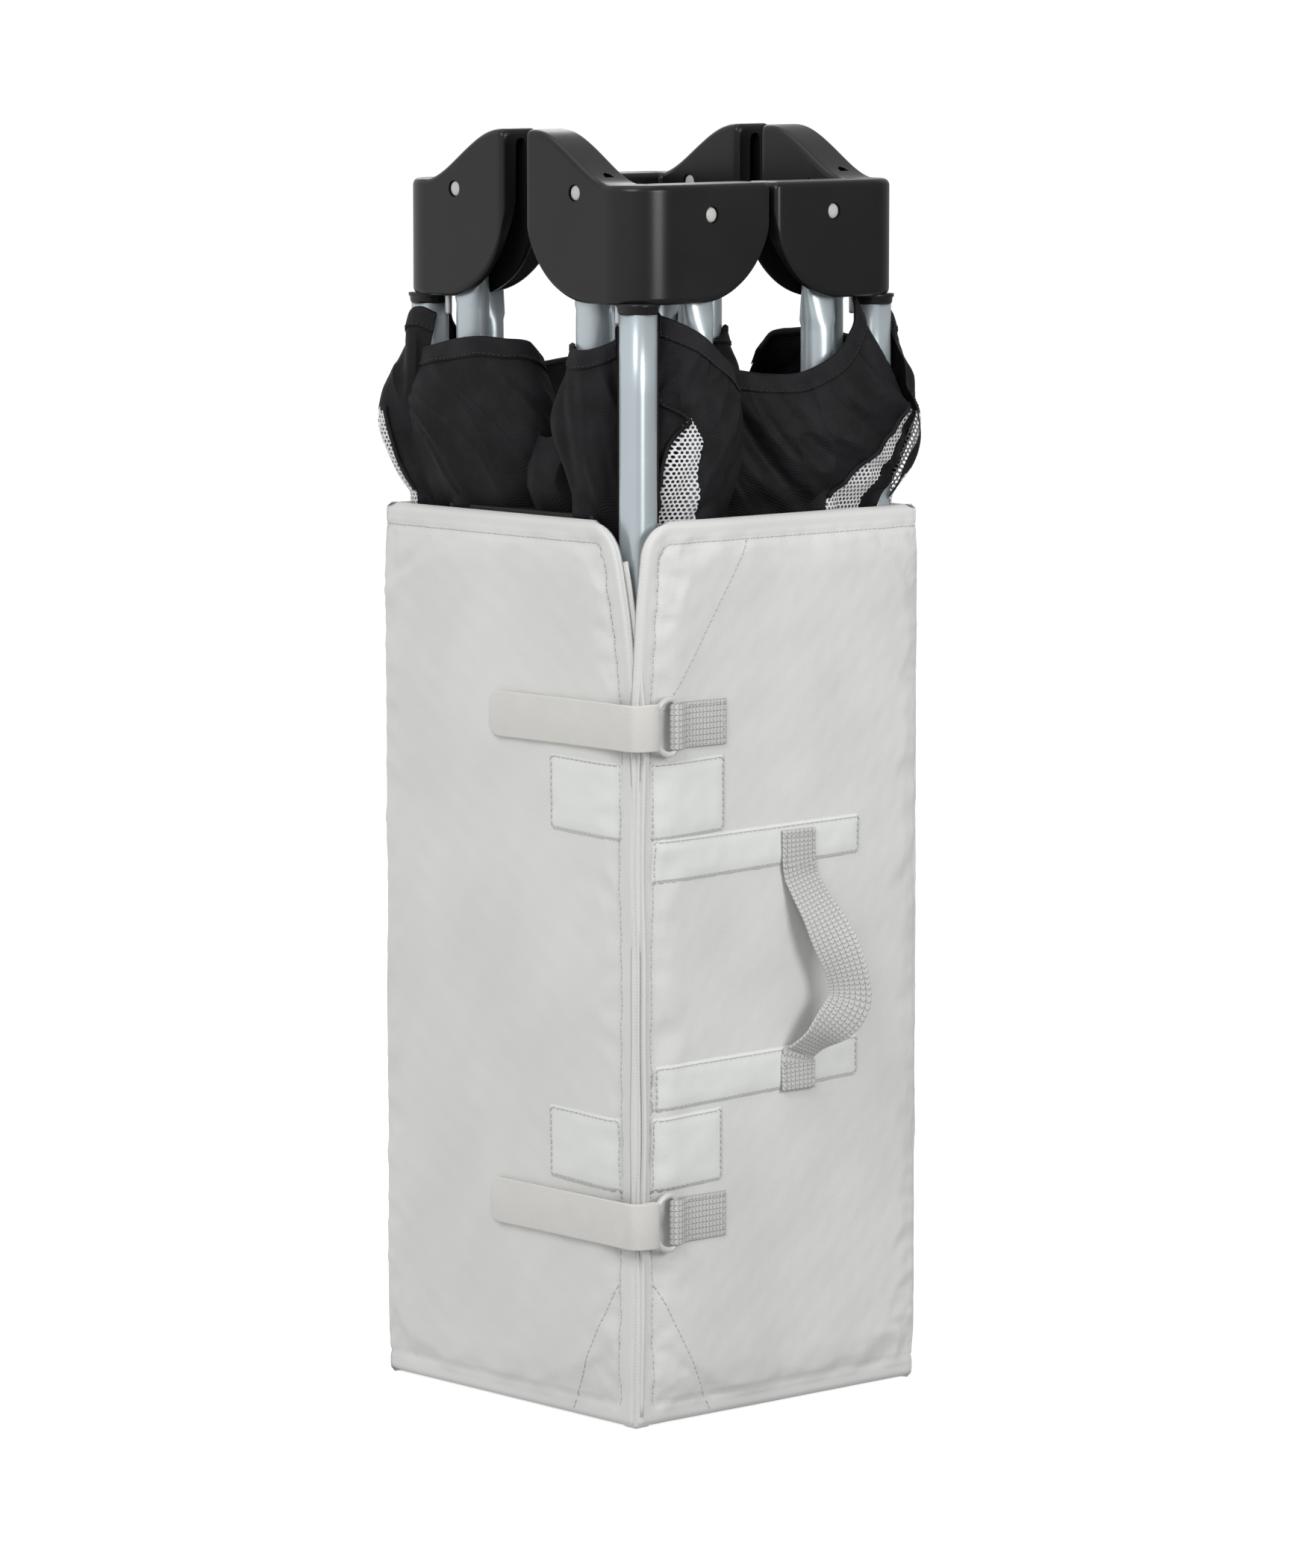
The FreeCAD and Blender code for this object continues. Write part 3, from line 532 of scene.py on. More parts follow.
def rounded_section(width, thick, radius, steps=4):
    """Points round a rectangle with rounded corners, centred on the origin."""
    points = []
    for turn, (sx, sy) in enumerate(((1, 1), (-1, 1), (-1, -1), (1, -1))):
        for step in range(steps + 1):
            angle = (turn + step / steps) * math.pi / 2
            points.append((sx * (width / 2 - radius) + radius * math.cos(angle),
                           sy * (thick / 2 - radius) + radius * math.sin(angle)))
    return np.array(points)


def ribbon(name, path, across, width, thick, material, edge=None, round_ends=0):
    """A strip of tape along a path. across: the direction of its width, one for all or one for each point."""
    path = np.asarray(path, float)
    across = np.broadcast_to(np.asarray(across, float), path.shape)
    tangent = np.gradient(path, axis=0)
    tangent /= np.linalg.norm(tangent, axis=1)[:, None]
    across = across - tangent * (across * tangent).sum(1)[:, None]
    across /= np.linalg.norm(across, axis=1)[:, None]
    normal = np.cross(tangent, across)
    section = rounded_section(width, thick, min(thick / 2 * 0.95, edge or thick / 2 * 0.95), 3)
    run = path_run(path)
    if round_ends:
        short = np.maximum(round_ends - np.minimum(run, run[-1] - run), 0)
        across = across * (1 - 2 * (round_ends - np.sqrt(round_ends ** 2 - short ** 2))[:, None] / width)
    rings = (path[:, None, :] + across[:, None, :] * section[None, :, :1]
             + normal[:, None, :] * section[None, :, 1:])
    run = run * MM
    uvs = np.stack(np.broadcast_arrays(run[:, None], section[None, :, 0] * MM), axis=-1).reshape(-1, 2)
    return loft(name, rings, material, uvs)


def curve_points(poles, count):
    """Even points on a smooth curve that passes through its poles (Catmull-Rom)."""
    poles = np.asarray(poles, float)
    ends = np.vstack([2 * poles[0] - poles[1], poles, 2 * poles[-1] - poles[-2]])
    fine = []
    for i in range(1, len(ends) - 2):
        p0, p1, p2, p3 = ends[i - 1:i + 3]
        for t in np.linspace(0, 1, 24, endpoint=False):
            fine.append(0.5 * (2 * p1 + (p2 - p0) * t + (2 * p0 - 5 * p1 + 4 * p2 - p3) * t ** 2
                               + (3 * p1 - p0 - 3 * p2 + p3) * t ** 3))
    fine = np.array(fine + [poles[-1]])
    run = path_run(fine)
    even = np.linspace(0, run[-1], count)
    return np.stack([np.interp(even, run, fine[:, k]) for k in range(fine.shape[1])], axis=1)


# ---- stitches by geometry nodes ------------------------------------------------------------------


def stitch_tree():
    """Geometry nodes that set small stitches along each line of a mesh."""
    tree = bpy.data.node_groups.new("Stitch Run", "GeometryNodeTree")
    face = tree.interface
    face.new_socket("Geometry", in_out="INPUT", socket_type="NodeSocketGeometry")
    for name, default in (("Step", 0.0042), ("Stitch Length", 0.0030), ("Thread Radius", 0.00038)):
        socket = face.new_socket(name, in_out="INPUT", socket_type="NodeSocketFloat")
        socket.default_value = default
    face.new_socket("Thread", in_out="INPUT", socket_type="NodeSocketMaterial")
    face.new_socket("Geometry", in_out="OUTPUT", socket_type="NodeSocketGeometry")
    add, link = tree.nodes.new, tree.links.new
    given, result = add("NodeGroupInput"), add("NodeGroupOutput")
    to_curve = add("GeometryNodeMeshToCurve")
    resample = add("GeometryNodeResampleCurve")
    resample.mode = "LENGTH"
    tangent = add("GeometryNodeInputTangent")
    align = add("FunctionNodeAlignRotationToVector")
    align.axis = "Z"
    stitch = add("GeometryNodeMeshCylinder")
    stitch.inputs["Vertices"].default_value = 6
    stitch.inputs["Side Segments"].default_value = 1
    shaded = add("GeometryNodeSetShadeSmooth")
    points = add("GeometryNodeInstanceOnPoints")
    realize = add("GeometryNodeRealizeInstances")
    paint = add("GeometryNodeSetMaterial")
    link(given.outputs["Geometry"], to_curve.inputs[0])
    link(to_curve.outputs[0], resample.inputs["Curve"])
    link(given.outputs["Step"], resample.inputs["Length"])
    link(tangent.outputs[0], align.inputs["Vector"])
    link(given.outputs["Thread Radius"], stitch.inputs["Radius"])
    link(given.outputs["Stitch Length"], stitch.inputs["Depth"])
    link(stitch.outputs["Mesh"], shaded.inputs[0])
    link(resample.outputs[0], points.inputs["Points"])
    link(shaded.outputs[0], points.inputs["Instance"])
    link(align.outputs[0], points.inputs["Rotation"])
    link(points.outputs[0], realize.inputs[0])
    link(realize.outputs[0], paint.inputs[0])
    link(given.outputs["Thread"], paint.inputs["Material"])
    link(paint.outputs[0], result.inputs[0])
    return tree


STITCHES = {}


def stitches(name, lines, body, thread="thread", step=None, radius=0.00038):
    """One mesh of stitches along several lines of points, riding on a body."""
    if "tree" not in STITCHES:
        STITCHES["tree"] = stitch_tree()
    points, edges = [], []
    for line in lines:
        start = len(points)
        points += (np.asarray(line) * MM).tolist()
        edges += [(start + i, start + i + 1) for i in range(len(line) - 1)]
    mesh = bpy.data.meshes.new(name)
    mesh.from_pydata(points, edges, [])
    made = add_object(name, mesh)
    modifier = made.modifiers.new("stitches", "NODES")
    modifier.node_group = STITCHES["tree"]
    step = step or bpy.context.scene.playpen_mat.stitch_step
    wanted = {"Step": step, "Stitch Length": step * 0.72, "Thread Radius": radius,
              "Thread": MATERIALS[thread]}
    for item in STITCHES["tree"].interface.items_tree:
        if item.in_out == "INPUT" and item.name in wanted:
            modifier[item.identifier] = wanted[item.name]
    finish_modifiers(made)
    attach(made, body)
    return made


# ---- corner caps ---------------------------------------------------------------------------------


def cap_stations(settings):
    """Stations along the cap from the long arm's end round the corner to the short arm's end.

    Each holds the outer point, the inner point, the low and high edge, and how much its section shrinks
    towards the rounded end of an arm.
    """
    round_out, round_in = settings.cap_round / MM, 3.0
    arm_round = settings.cap_arm_round / MM
    low, inner = CAP_OUTSIDE, CAP_OUTSIDE + CAP_THICK
    long_end, short_end = CAP_HIGH[0], CAP_HIGH[1]

    def heights(reach, arm, rising):
        """Low and high edge at a distance from the corner's outer faces along an arm."""
        bottom, into = CAP_BASE, reach - (arm - arm_round)
        if into > 0:
            bottom += arm_round - math.sqrt(max(arm_round ** 2 - min(into, arm_round - 0.5) ** 2, 0))
        top = CAP_TOP
        if rising:
            top += (CAP_PEAK - CAP_TOP) * float(smooth(CAP_THICK * 0.9, arm - 6, reach)) ** 0.9
        return bottom, top

    def shrink(left, round_end=4.0):
        return round_end - math.sqrt(max(round_end ** 2 - max(0, round_end - left) ** 2, 0))

    stations = []
    long_arm, short_arm = long_end - low, short_end - low
    ends = (0.0, 0.4, 1.2, 2.4, 4.0)
    for reach in [long_arm - e for e in ends] + list(np.linspace(long_arm - 6, round_out, 26)):
        stations.append(((low + reach, low), (low + reach, inner), *heights(reach, long_arm, False),
                         shrink(long_arm - reach)))
    for turn in np.linspace(0, 1, 11)[1:-1]:
        angle = math.pi / 2 * (3 - turn)
        way = np.array((math.cos(angle), math.sin(angle)))
        outer, inside = low + round_out + round_out * way, inner + round_in + round_in * way
        stations.append((outer, inside, CAP_BASE, CAP_TOP, 0))
    for reach in list(np.linspace(round_out, short_arm - 6, 30)) + [short_arm - e for e in ends[::-1]]:
        stations.append(((low, low + reach), (inner, low + reach), *heights(reach, short_arm, True),
                         shrink(short_arm - reach)))
    return stations


def cap_mesh(name, signs, settings):
    edge = settings.cap_edge / MM
    rings = []
    for outer, inside, bottom, top, inset in cap_stations(settings):
        outer, inside = np.array(outer), np.array(inside)
        across = (inside - outer) / np.linalg.norm(inside - outer)
        width, tall = np.linalg.norm(inside - outer) - 2 * inset, top - bottom - 2 * inset
        section = rounded_section(width, tall, min(edge, tall / 2 - 0.2), 4)
        middle = (outer + inside) / 2
        flat = middle[None, :] + across[None, :] * section[:, :1]
        rings.append(np.column_stack([flat, section[:, 1] + (top + bottom) / 2]))
    rings = mirror_points(rings, signs)
    made = loft(name, rings, ["cap", "slot"])
    cut_with(made, cap_cutters(signs))
    bevel = made.modifiers.new("soft cut edges", "BEVEL")
    bevel.width, bevel.segments = 0.7 * MM, 2
    bevel.limit_method, bevel.angle_limit = "ANGLE", math.radians(55)
    bevel.harden_normals = True
    even = made.modifiers.new("even faces", "WEIGHTED_NORMAL")
    even.weight, even.keep_sharp = 100, True
    return finish_modifiers(made)


def cap_cutters(signs):
    """The rail slots, narrow above and wide below, and the pin holes."""
    solids = []
    for across, pin, pin_z, end, top in ((0, LONG_PIN, LONG_PIN_Z, CAP_HIGH[0], CAP_TOP),
                                         (1, SHORT_PIN, SHORT_PIN_Z, CAP_HIGH[1], CAP_PEAK)):
        neck = pin_z - 8
        for start, ceiling in ((pin - 17, pin_z + 13), (end - 17, top - 6)):
            outline = [(-4.3, ceiling - 4), (-3.0, ceiling - 1), (0, ceiling), (3.0, ceiling - 1),
                       (4.3, ceiling - 4), (4.8, neck), (9.5, neck - 22), (10.8, neck - 40),
                       (10.8, CAP_BASE - 4), (-10.8, CAP_BASE - 4), (-10.8, neck - 40), (-9.5, neck - 22),
                       (-4.8, neck)]
            solids.append([[(-AXIS + w, at, z) if across else (at, -AXIS + w, z) for w, z in outline]
                           for at in (start, end + 6)])
        for face in (-1, 1):
            depth = (-AXIS + face * (CAP_THICK / 2 + 2), -AXIS + face * (CAP_THICK / 2 - 2.6))
            solids.append([[(d, pin + w, pin_z + z) if across else (pin + w, d, pin_z + z)
                            for w, z in circle(5.5, 28)] for d in depth])
    made = []
    for number, rings in enumerate(solids):
        made.append(loft(f"cutter_{number}", mirror_points(rings, signs), "slot"))
    return made


def cut_with(made, cutters):
    for cutter in cutters:
        modifier = made.modifiers.new("cut", "BOOLEAN")
        modifier.operation, modifier.object, modifier.solver = "DIFFERENCE", cutter, "EXACT"
        modifier.material_mode = "TRANSFER"
    finish_modifiers(made)
    for cutter in cutters:
        bpy.data.objects.remove(cutter)


class PLAYPEN_OT_caps(bpy.types.Operator):
    """Builds the four slotted corner caps with their collars"""

    bl_idname = "playpen.caps"
    bl_label = "Corner Caps"

    def execute(self, context):
        settings = context.scene.playpen_frame
        for corner, signs in CORNERS.items():
            cap = cap_mesh(f"cap_{corner}", signs, settings)
            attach(cap, f"post_{corner}")
            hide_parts(f"corner_cap_{corner}")
            section = rounded_section(27, 27, 11.5, 6)
            levels = [(1, 1.0), (-1, 1.0), (-1.6, 0.94), (-4.6, 0.92), (-6, 0.86)]
            rings = [[(-AXIS + x * s, -AXIS + y * s, CAP_BASE + z) for x, y in section] for z, s in levels]
            collar = loft(f"collar_{corner}", mirror_points(rings, signs), "cap")
            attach(collar, f"post_{corner}")
        return {"FINISHED"}


# ---- posts and rails -----------------------------------------------------------------------------


def post_mesh(corner, signs):
    """A square tube with well-rounded corners, open at the foot."""
    low, high = node_box("post_tube_sw")
    high = np.minimum(high, CAP_BASE - 2)
    bore = PAINTED_TUBE - 3.2
    outer = rounded_section(PAINTED_TUBE, PAINTED_TUBE, 7.6, 6)
    inner = rounded_section(bore, bore, 5.8, 6)
    rings = [[(-AXIS + x, -AXIS + y, z) for x, y in section] for section, z in
             ((inner, high[2]), (outer, high[2] - 0.4), (outer, low[2] + 0.6), (inner, low[2]))]
    rings = np.array(rings)
    long_run = np.linspace(rings[1], rings[2], 14)
    rings = np.concatenate([rings[:1], long_run, rings[3:]])
    return loft(f"post_{corner}", mirror_points(rings, signs), "paint")


def rail_mesh(name, across_x, pin, pin_z, low, signs):
    """A round tube whose upper end is pressed flat for its pin, and whose lower end has a short tongue."""
    reach = low + 11
    stations = [(pin_z + 12, 2, 8), (pin_z + 11.6, 9, 8), (pin_z + 9, 17, 8), (pin_z + 5, 22, 8),
                (pin_z, 24.5, 8), (pin_z - 20, 25, 8), (pin_z - 40, 25.4, 8.2)]
    for t in np.linspace(0, 1, 12)[1:]:
        eased = float(smooth(0, 1, t))
        stations.append((pin_z - 40 - 44 * t, 25.4 + (22 - 25.4) * eased, 8.2 + (22 - 8.2) * eased ** 0.8))
    stations += [(z, 22, 22) for z in np.linspace(pin_z - 100, reach + 30, 12)]
    stations += [(reach + 24, 22, 21), (reach + 19, 22, 9), (reach + 16, 22, 8), (reach, 22, 8),
                 (reach - 6, 18, 8), (reach - 10, 10, 8), (reach - 11, 3, 8)]
    angles = np.linspace(0, 2 * math.pi, 32, endpoint=False)
    rings = []
    for z, wide, thick in stations:
        power = 1.0 if thick > 20 else 0.72
        c, s = np.cos(angles), np.sin(angles)
        w = np.sign(c) * np.abs(c) ** power * wide / 2
        t = np.sign(s) * np.abs(s) ** power * thick / 2
        x, y = (pin + w, -AXIS + t) if across_x else (-AXIS + t, pin + w)
        rings.append(np.column_stack([x, y, np.full(len(angles), z)]))
    return loft(name, mirror_points(rings, signs), "paint")


class PLAYPEN_OT_tubes(bpy.types.Operator):
    """Builds the four posts and the eight half rails"""

    bl_idname = "playpen.tubes"
    bl_label = "Posts And Rails"

    def execute(self, context):
        for corner, signs in CORNERS.items():
            post = post_mesh(corner, signs)
            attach(post, f"post_{corner}")
            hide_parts(f"post_tube_{corner}")
            for kind, across_x, pin, pin_z, low in (
                    ("long", True, LONG_PIN, LONG_PIN_Z, RAIL_LONG_LOW[2]),
                    ("short", False, SHORT_PIN, SHORT_PIN_Z, RAIL_SHORT_LOW[2])):
                rail = rail_mesh(f"half_rail_{kind}_{corner}", across_x, pin, pin_z, low, signs)
                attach(rail, f"rail_{kind}_{corner}")
                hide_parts(f"rail_{kind}_{corner}")
        return {"FINISHED"}


def domed_disc(name, centre, axis, radius, depth, material):
    """A rivet head: a short barrel with a softly domed face at both ends."""
    profile = [(-depth / 2, 0.02), (-depth / 2 + 0.05, radius * 0.5), (-depth / 2 + 0.25, radius * 0.8),
               (-depth / 2 + 0.7, radius * 0.95), (-depth / 2 + 1.3, radius)]
    profile += [(-z, r) for z, r in profile[::-1]]
    angles = np.linspace(0, 2 * math.pi, 32, endpoint=False)
    rings = []
    for at, r in profile:
        circle = {0: (np.full(32, at), r * np.cos(angles), r * np.sin(angles)),
                  1: (r * np.cos(angles), np.full(32, at), r * np.sin(angles)),
                  2: (r * np.cos(angles), r * np.sin(angles), np.full(32, at))}[axis]
        rings.append(np.column_stack(circle) + np.asarray(centre))
    return loft(name, rings, material)


def join(name, parts):
    """Joins objects into the first one under a new name."""
    with bpy.context.temp_override(active_object=parts[0], selected_editable_objects=parts, object=parts[0]):
        bpy.ops.object.join()
    parts[0].name = parts[0].data.name = name
    return parts[0]


class PLAYPEN_OT_pins(bpy.types.Operator):
    """Builds the rivet pins of the caps and the studs that hold the cloth's corners"""

    bl_idname = "playpen.pins"
    bl_label = "Pins And Studs"

    def execute(self, context):
        for corner, (sx, sy) in CORNERS.items():
            pin = (5.05, CAP_THICK - 1.6, "pin")
            long_pin = domed_disc("pin", (sx * LONG_PIN, -sy * AXIS, LONG_PIN_Z), 1, *pin)
            short_pin = domed_disc("pin", (-sx * AXIS, sy * SHORT_PIN, SHORT_PIN_Z), 0, *pin)
            stud = domed_disc("stud", (-sx * AXIS, -sy * (AXIS - 19), CAP_BASE - 6), 2, 2.4, 14, "zinc")
            pins = join(f"rivets_{corner}", [long_pin, short_pin, stud])
            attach(pins, f"post_{corner}")
            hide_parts(f"corner_pins_{corner}")
        return {"FINISHED"}


class PLAYPEN_OT_works(bpy.types.Operator):
    """Gives the base, hub and latches their finishes"""

    bl_idname = "playpen.works"
    bl_label = "Base And Latches"

    def execute(self, context):
        finishes = {"base_strut": "paint", "corner_foot": "dark", "hub_housing": "dark", "hub_pins": "pin",
                    "hub_foot": "dark", "latch_housing": "dark", "latch_pins": "pin", "latch_button": "cap"}
        for name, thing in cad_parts.items():
            for start, finish in finishes.items():
                if name.startswith(start):
                    thing.data.materials.clear()
                    thing.data.materials.append(MATERIALS[finish])
        return {"FINISHED"}


# ---- mat -----------------------------------------------------------------------------------------

TOP_ROUND, FOLD_ROUND, EDGE_ROUND = 22.0, 9.0, 4.5
# the seam is closed below this height, and its edge stands this far from the corner
SEAM_SHUT, SEAM_INSET = 455, 3.2
PADS = {}


def seam_edge(height, side):
    """Where a panel's seam edge stands along its side: it opens towards the top, and a little at the foot."""
    opening = bpy.context.scene.playpen_mat.seam_open / MM * (1.0 if side == "west" else 0.45)
    base = -MAT_FACE + SEAM_INSET
    pull = opening * np.clip((height - SEAM_SHUT) / (MAT_TOP - SEAM_SHUT), 0, 1) ** 1.6
    waist = 0.9 * np.sin(height / 47.0) + 0.5 * np.sin(height / 19.0 + 1)
    foot = 1.6 * np.clip((95 - height) / 95, 0, 1)
    return base + pull + foot + np.where(height < SEAM_SHUT, waist, waist * 0.4)


def panel_outline(height, side, seam):
    """The low and high ends of a panel's row along its side, for its outer face."""
    tip = FOLD_ROUND * (1 - math.sqrt(0.5))
    high = np.full_like(height, MAT_FACE - tip)
    if not seam:
        return -high, high
    low = seam_edge(height, side)
    into = np.clip(height - (MAT_TOP - TOP_ROUND), 0, TOP_ROUND - 0.01)
    low = low + TOP_ROUND - np.sqrt(TOP_ROUND ** 2 - into ** 2)
    return low, high


def hem_distance(along, height, side, seam):
    """Distance from the sewn edges: the top, the foot and, on a seam panel, the seam edge."""
    top, foot = MAT_TOP - height, height
    if not seam:
        return np.minimum(top, foot), np.minimum(top, foot)
    edge = along - seam_edge(height, side)
    corner = (edge < TOP_ROUND) & (top < TOP_ROUND)
    round_in = TOP_ROUND - np.hypot(TOP_ROUND - edge, TOP_ROUND - top)
    nearest = np.where(corner, round_in, np.minimum(edge, top))
    return np.maximum(np.minimum(nearest, foot), 0), np.minimum(top, foot)


def simulate_pad(seed, side, rows):
    """How far each point of a pad's cover swells, in mm, by a cloth simulation that is held at the hems."""
    seam = side in ("south", "west")
    columns = max(8, int(rows * 258 / MAT_TOP))
    z = np.linspace(0, MAT_TOP, rows)[:, None] + np.zeros((1, columns))
    low, high = panel_outline(z[:, 0], side, seam)
    a = low[:, None] + (high - low)[:, None] * np.linspace(0, 1, columns)[None, :]
    hem, _ = hem_distance(a, z, side, seam)
    start = 5 + 0.35 * ripple(a, z, seed, 90)
    front = np.stack([a, start, z], axis=-1).reshape(-1, 3)
    back = np.stack([a, np.full_like(a, -5), z], axis=-1).reshape(-1, 3)
    count = rows * columns
    made = outward(piece("pad_cover", np.vstack([front, back]), closed_faces(rows, columns), "mat"))
    held = made.vertex_groups.new(name="held")
    held.add(list(range(count, 2 * count)), 1.0, "REPLACE")
    flat = hem.reshape(-1)
    fold = np.minimum(a.max() - a, a - a.min() if not seam else 1e3).reshape(-1)
    held.add(np.nonzero((flat < 15) | (fold < 3))[0].tolist(), 1.0, "REPLACE")
    held.add(np.nonzero((flat >= 15) & (fold >= 3) & (fold < 12))[0].tolist(), 0.25, "REPLACE")
    cloth = made.modifiers.new("cloth", "CLOTH")
    cloth.settings.quality = 6
    cloth.settings.mass = 0.25
    cloth.settings.tension_stiffness = cloth.settings.compression_stiffness = 18
    cloth.settings.shear_stiffness = 8
    cloth.settings.bending_stiffness = 0.6
    cloth.settings.air_damping = 3
    cloth.settings.vertex_group_mass = "held"
    cloth.settings.use_pressure = True
    cloth.settings.uniform_pressure_force = 3.2
    cloth.settings.shrink_min = -0.018
    cloth.settings.effector_weights.gravity = 0
    cloth.collision_settings.use_collision = False
    cloth.point_cache.frame_start, cloth.point_cache.frame_end = 1, 22
    scene = bpy.context.scene
    for frame_number in range(1, 23):
        scene.frame_set(frame_number)
        made.evaluated_get(bpy.context.evaluated_depsgraph_get())
    mesh = made.evaluated_get(bpy.context.evaluated_depsgraph_get()).to_mesh()
    points = np.zeros(len(mesh.vertices) * 3)
    mesh.vertices.foreach_get("co", points)
    swell = (points.reshape(-1, 3)[:count] / MM - np.stack([a, np.full_like(a, 5), z], -1).reshape(-1, 3))
    swell = swell.reshape(rows, columns, 3)
    bpy.data.objects.remove(made)
    scene.frame_set(1)
    print("pad", side, "swelled by", round(float(swell[..., 1].max()), 2), "mm at most")
    return swell


def sample(field, rows, columns):
    """A field on a coarse grid, read smoothly at a finer one."""
    r = np.linspace(0, field.shape[0] - 1, rows)
    c = np.linspace(0, field.shape[1] - 1, columns)
    r0, c0 = np.minimum(r.astype(int), field.shape[0] - 2), np.minimum(c.astype(int), field.shape[1] - 2)
    fr, fc = (r - r0)[:, None, None], (c - c0)[None, :, None]
    fr, fc = fr * fr * (3 - 2 * fr), fc * fc * (3 - 2 * fc)
    top = field[r0][:, c0] * (1 - fc) + field[r0][:, c0 + 1] * fc
    low = field[r0 + 1][:, c0] * (1 - fc) + field[r0 + 1][:, c0 + 1] * fc
    return top * (1 - fr) + low * fr


def pad_surface(side, rows=172, columns=92):
    """The outer face of a panel as a grid of (along, out, height)."""
    seam = side in ("south", "west")
    seed = {"south": 4, "west": 11, "north": 23, "east": 31}[side]
    s = np.linspace(0, 1, rows)
    z = MAT_TOP * (s - 0.05 * np.sin(2 * math.pi * s))
    low, high = panel_outline(z, side, seam)
    t = np.linspace(0, 1, columns)
    t = t - 0.045 * np.sin(2 * math.pi * t)
    a = low[:, None] + (high - low)[:, None] * t[None, :]
    z = z[:, None] + np.zeros((1, columns))
    hem, level = hem_distance(a, z, side, seam)
    out = np.full_like(a, MAT_FACE - 0.4)
    # round outline, thin hem, sewn groove, then the pad's full depth
    rim = EDGE_ROUND - np.sqrt(np.maximum(EDGE_ROUND ** 2 - np.clip(EDGE_ROUND - hem, 0, EDGE_ROUND) ** 2, 0))
    width = bpy.context.scene.playpen_mat.hem_width / MM
    out -= rim + 2.6 * (1 - smooth(width, width + 24, hem)) + 1.3 * np.exp(-((hem - width - 1) / 1.5) ** 2)
    # the fold to the next panel is a rounded upright edge
    for reach in (a.max() - a,) + (() if seam else (a - a.min(),)):
        into = np.clip(FOLD_ROUND * math.sqrt(0.5) - reach, 0, None)
        out -= np.where(into > 0, FOLD_ROUND - np.sqrt(np.maximum(FOLD_ROUND ** 2 - into ** 2, 0)), 0)
    body = smooth(8, 40, hem)
    out += 1.2 * body * ripple(a, z * 0.55, seed, 150) + 0.35 * body * ripple(a, z, seed + 5, 42)
    if seam:
        from_edge = a - seam_edge(z, side)
        for level_z in STRAPS.values():
            dent = np.exp(-((z - level_z) / 20) ** 2) * np.exp(-(from_edge / 55) ** 2)
            out -= 2.4 * dent
        # puckers that run in from the sewn seam and down from the top hem
        pucker = np.exp(-(from_edge - 20) ** 2 / 22 ** 2) * np.sin(z / 5.3 + 2.2 * ripple(a, z, seed + 2, 60))
        out += 0.33 * pucker * smooth(14, 20, from_edge)
    drape = np.exp(-(level - 22) ** 2 / 20 ** 2) * np.sin(a / 6.1 + 2.5 * ripple(a, z, seed + 3, 70))
    out += 0.30 * drape * smooth(14, 19, level)
    return a, out, z, hem


def panel_piece(side, swell):
    """A panel as a closed pad: puffed outer face, flat inner face, rounded sewn edges."""
    a, out, z, hem = pad_surface(side)
    rows, columns = a.shape
    if swell is not None:
        change = sample(swell, rows, columns)
        puff = np.clip(change[..., 1], -1.5, 6.0) * 0.62
        out = out + puff - 0.62 * np.clip(change[..., 1], -1.5, 6.0).mean() * 0.55 * smooth(6, 40, hem)
        a = a + np.clip(change[..., 0], -2, 2) * smooth(15, 24, hem)
    outer = side_point(side, a, out, z)
    squeeze = 1 - smooth(0, EDGE_ROUND, hem)
    inner_a = np.clip(a, -(MAT_INNER - 0.5), MAT_INNER - 0.5)
    rise = squeeze * 3.2
    if side in ("south", "west"):
        inner_a = np.where(a < -MAT_INNER + 2, a, inner_a)
        from_edge = a - seam_edge(z, side)
        rise = np.maximum(rise, 8.2 * (1 - smooth(9, 22, from_edge)))
    inner = side_point(side, inner_a, MAT_INNER + 0.3 + rise, z)
    outer, inner = outer.reshape(-1, 3), inner.reshape(-1, 3)
    made = outward(piece(f"pad_{side}", np.vstack([outer, inner]), closed_faces(rows, columns), "mat"))
    PADS[side] = BVHTree.FromPolygons([tuple(p) for p in outer], grid_faces(rows, columns))
    return made


def on_pad(side, along, height, lift=0.0):
    """A point on a pad's outer face, by looking at it from outside, lifted off by a distance."""
    outward_way, _ = SIDES[side]
    start = side_point(side, float(along), MAT_FACE + 60, float(height))
    hit = PADS[side].ray_cast(Vector(start), Vector(-outward_way), 120)
    if hit[0] is None:
        return side_point(side, float(along), MAT_FACE - 3 + lift, float(height))
    return np.array(hit[0]) + outward_way * lift


def pad_line(side, ends, step=2.0, lift=0.25):
    """A line of points laid on a pad between corners given as (along, height)."""
    points = []
    for (a0, z0), (a1, z1) in zip(ends, ends[1:]):
        count = max(2, int(math.hypot(a1 - a0, z1 - z0) / step))
        for t in np.linspace(0, 1, count, endpoint=False):
            points.append(on_pad(side, a0 + (a1 - a0) * t, z0 + (z1 - z0) * t, lift))
    points.append(on_pad(side, *ends[-1], lift))
    return points


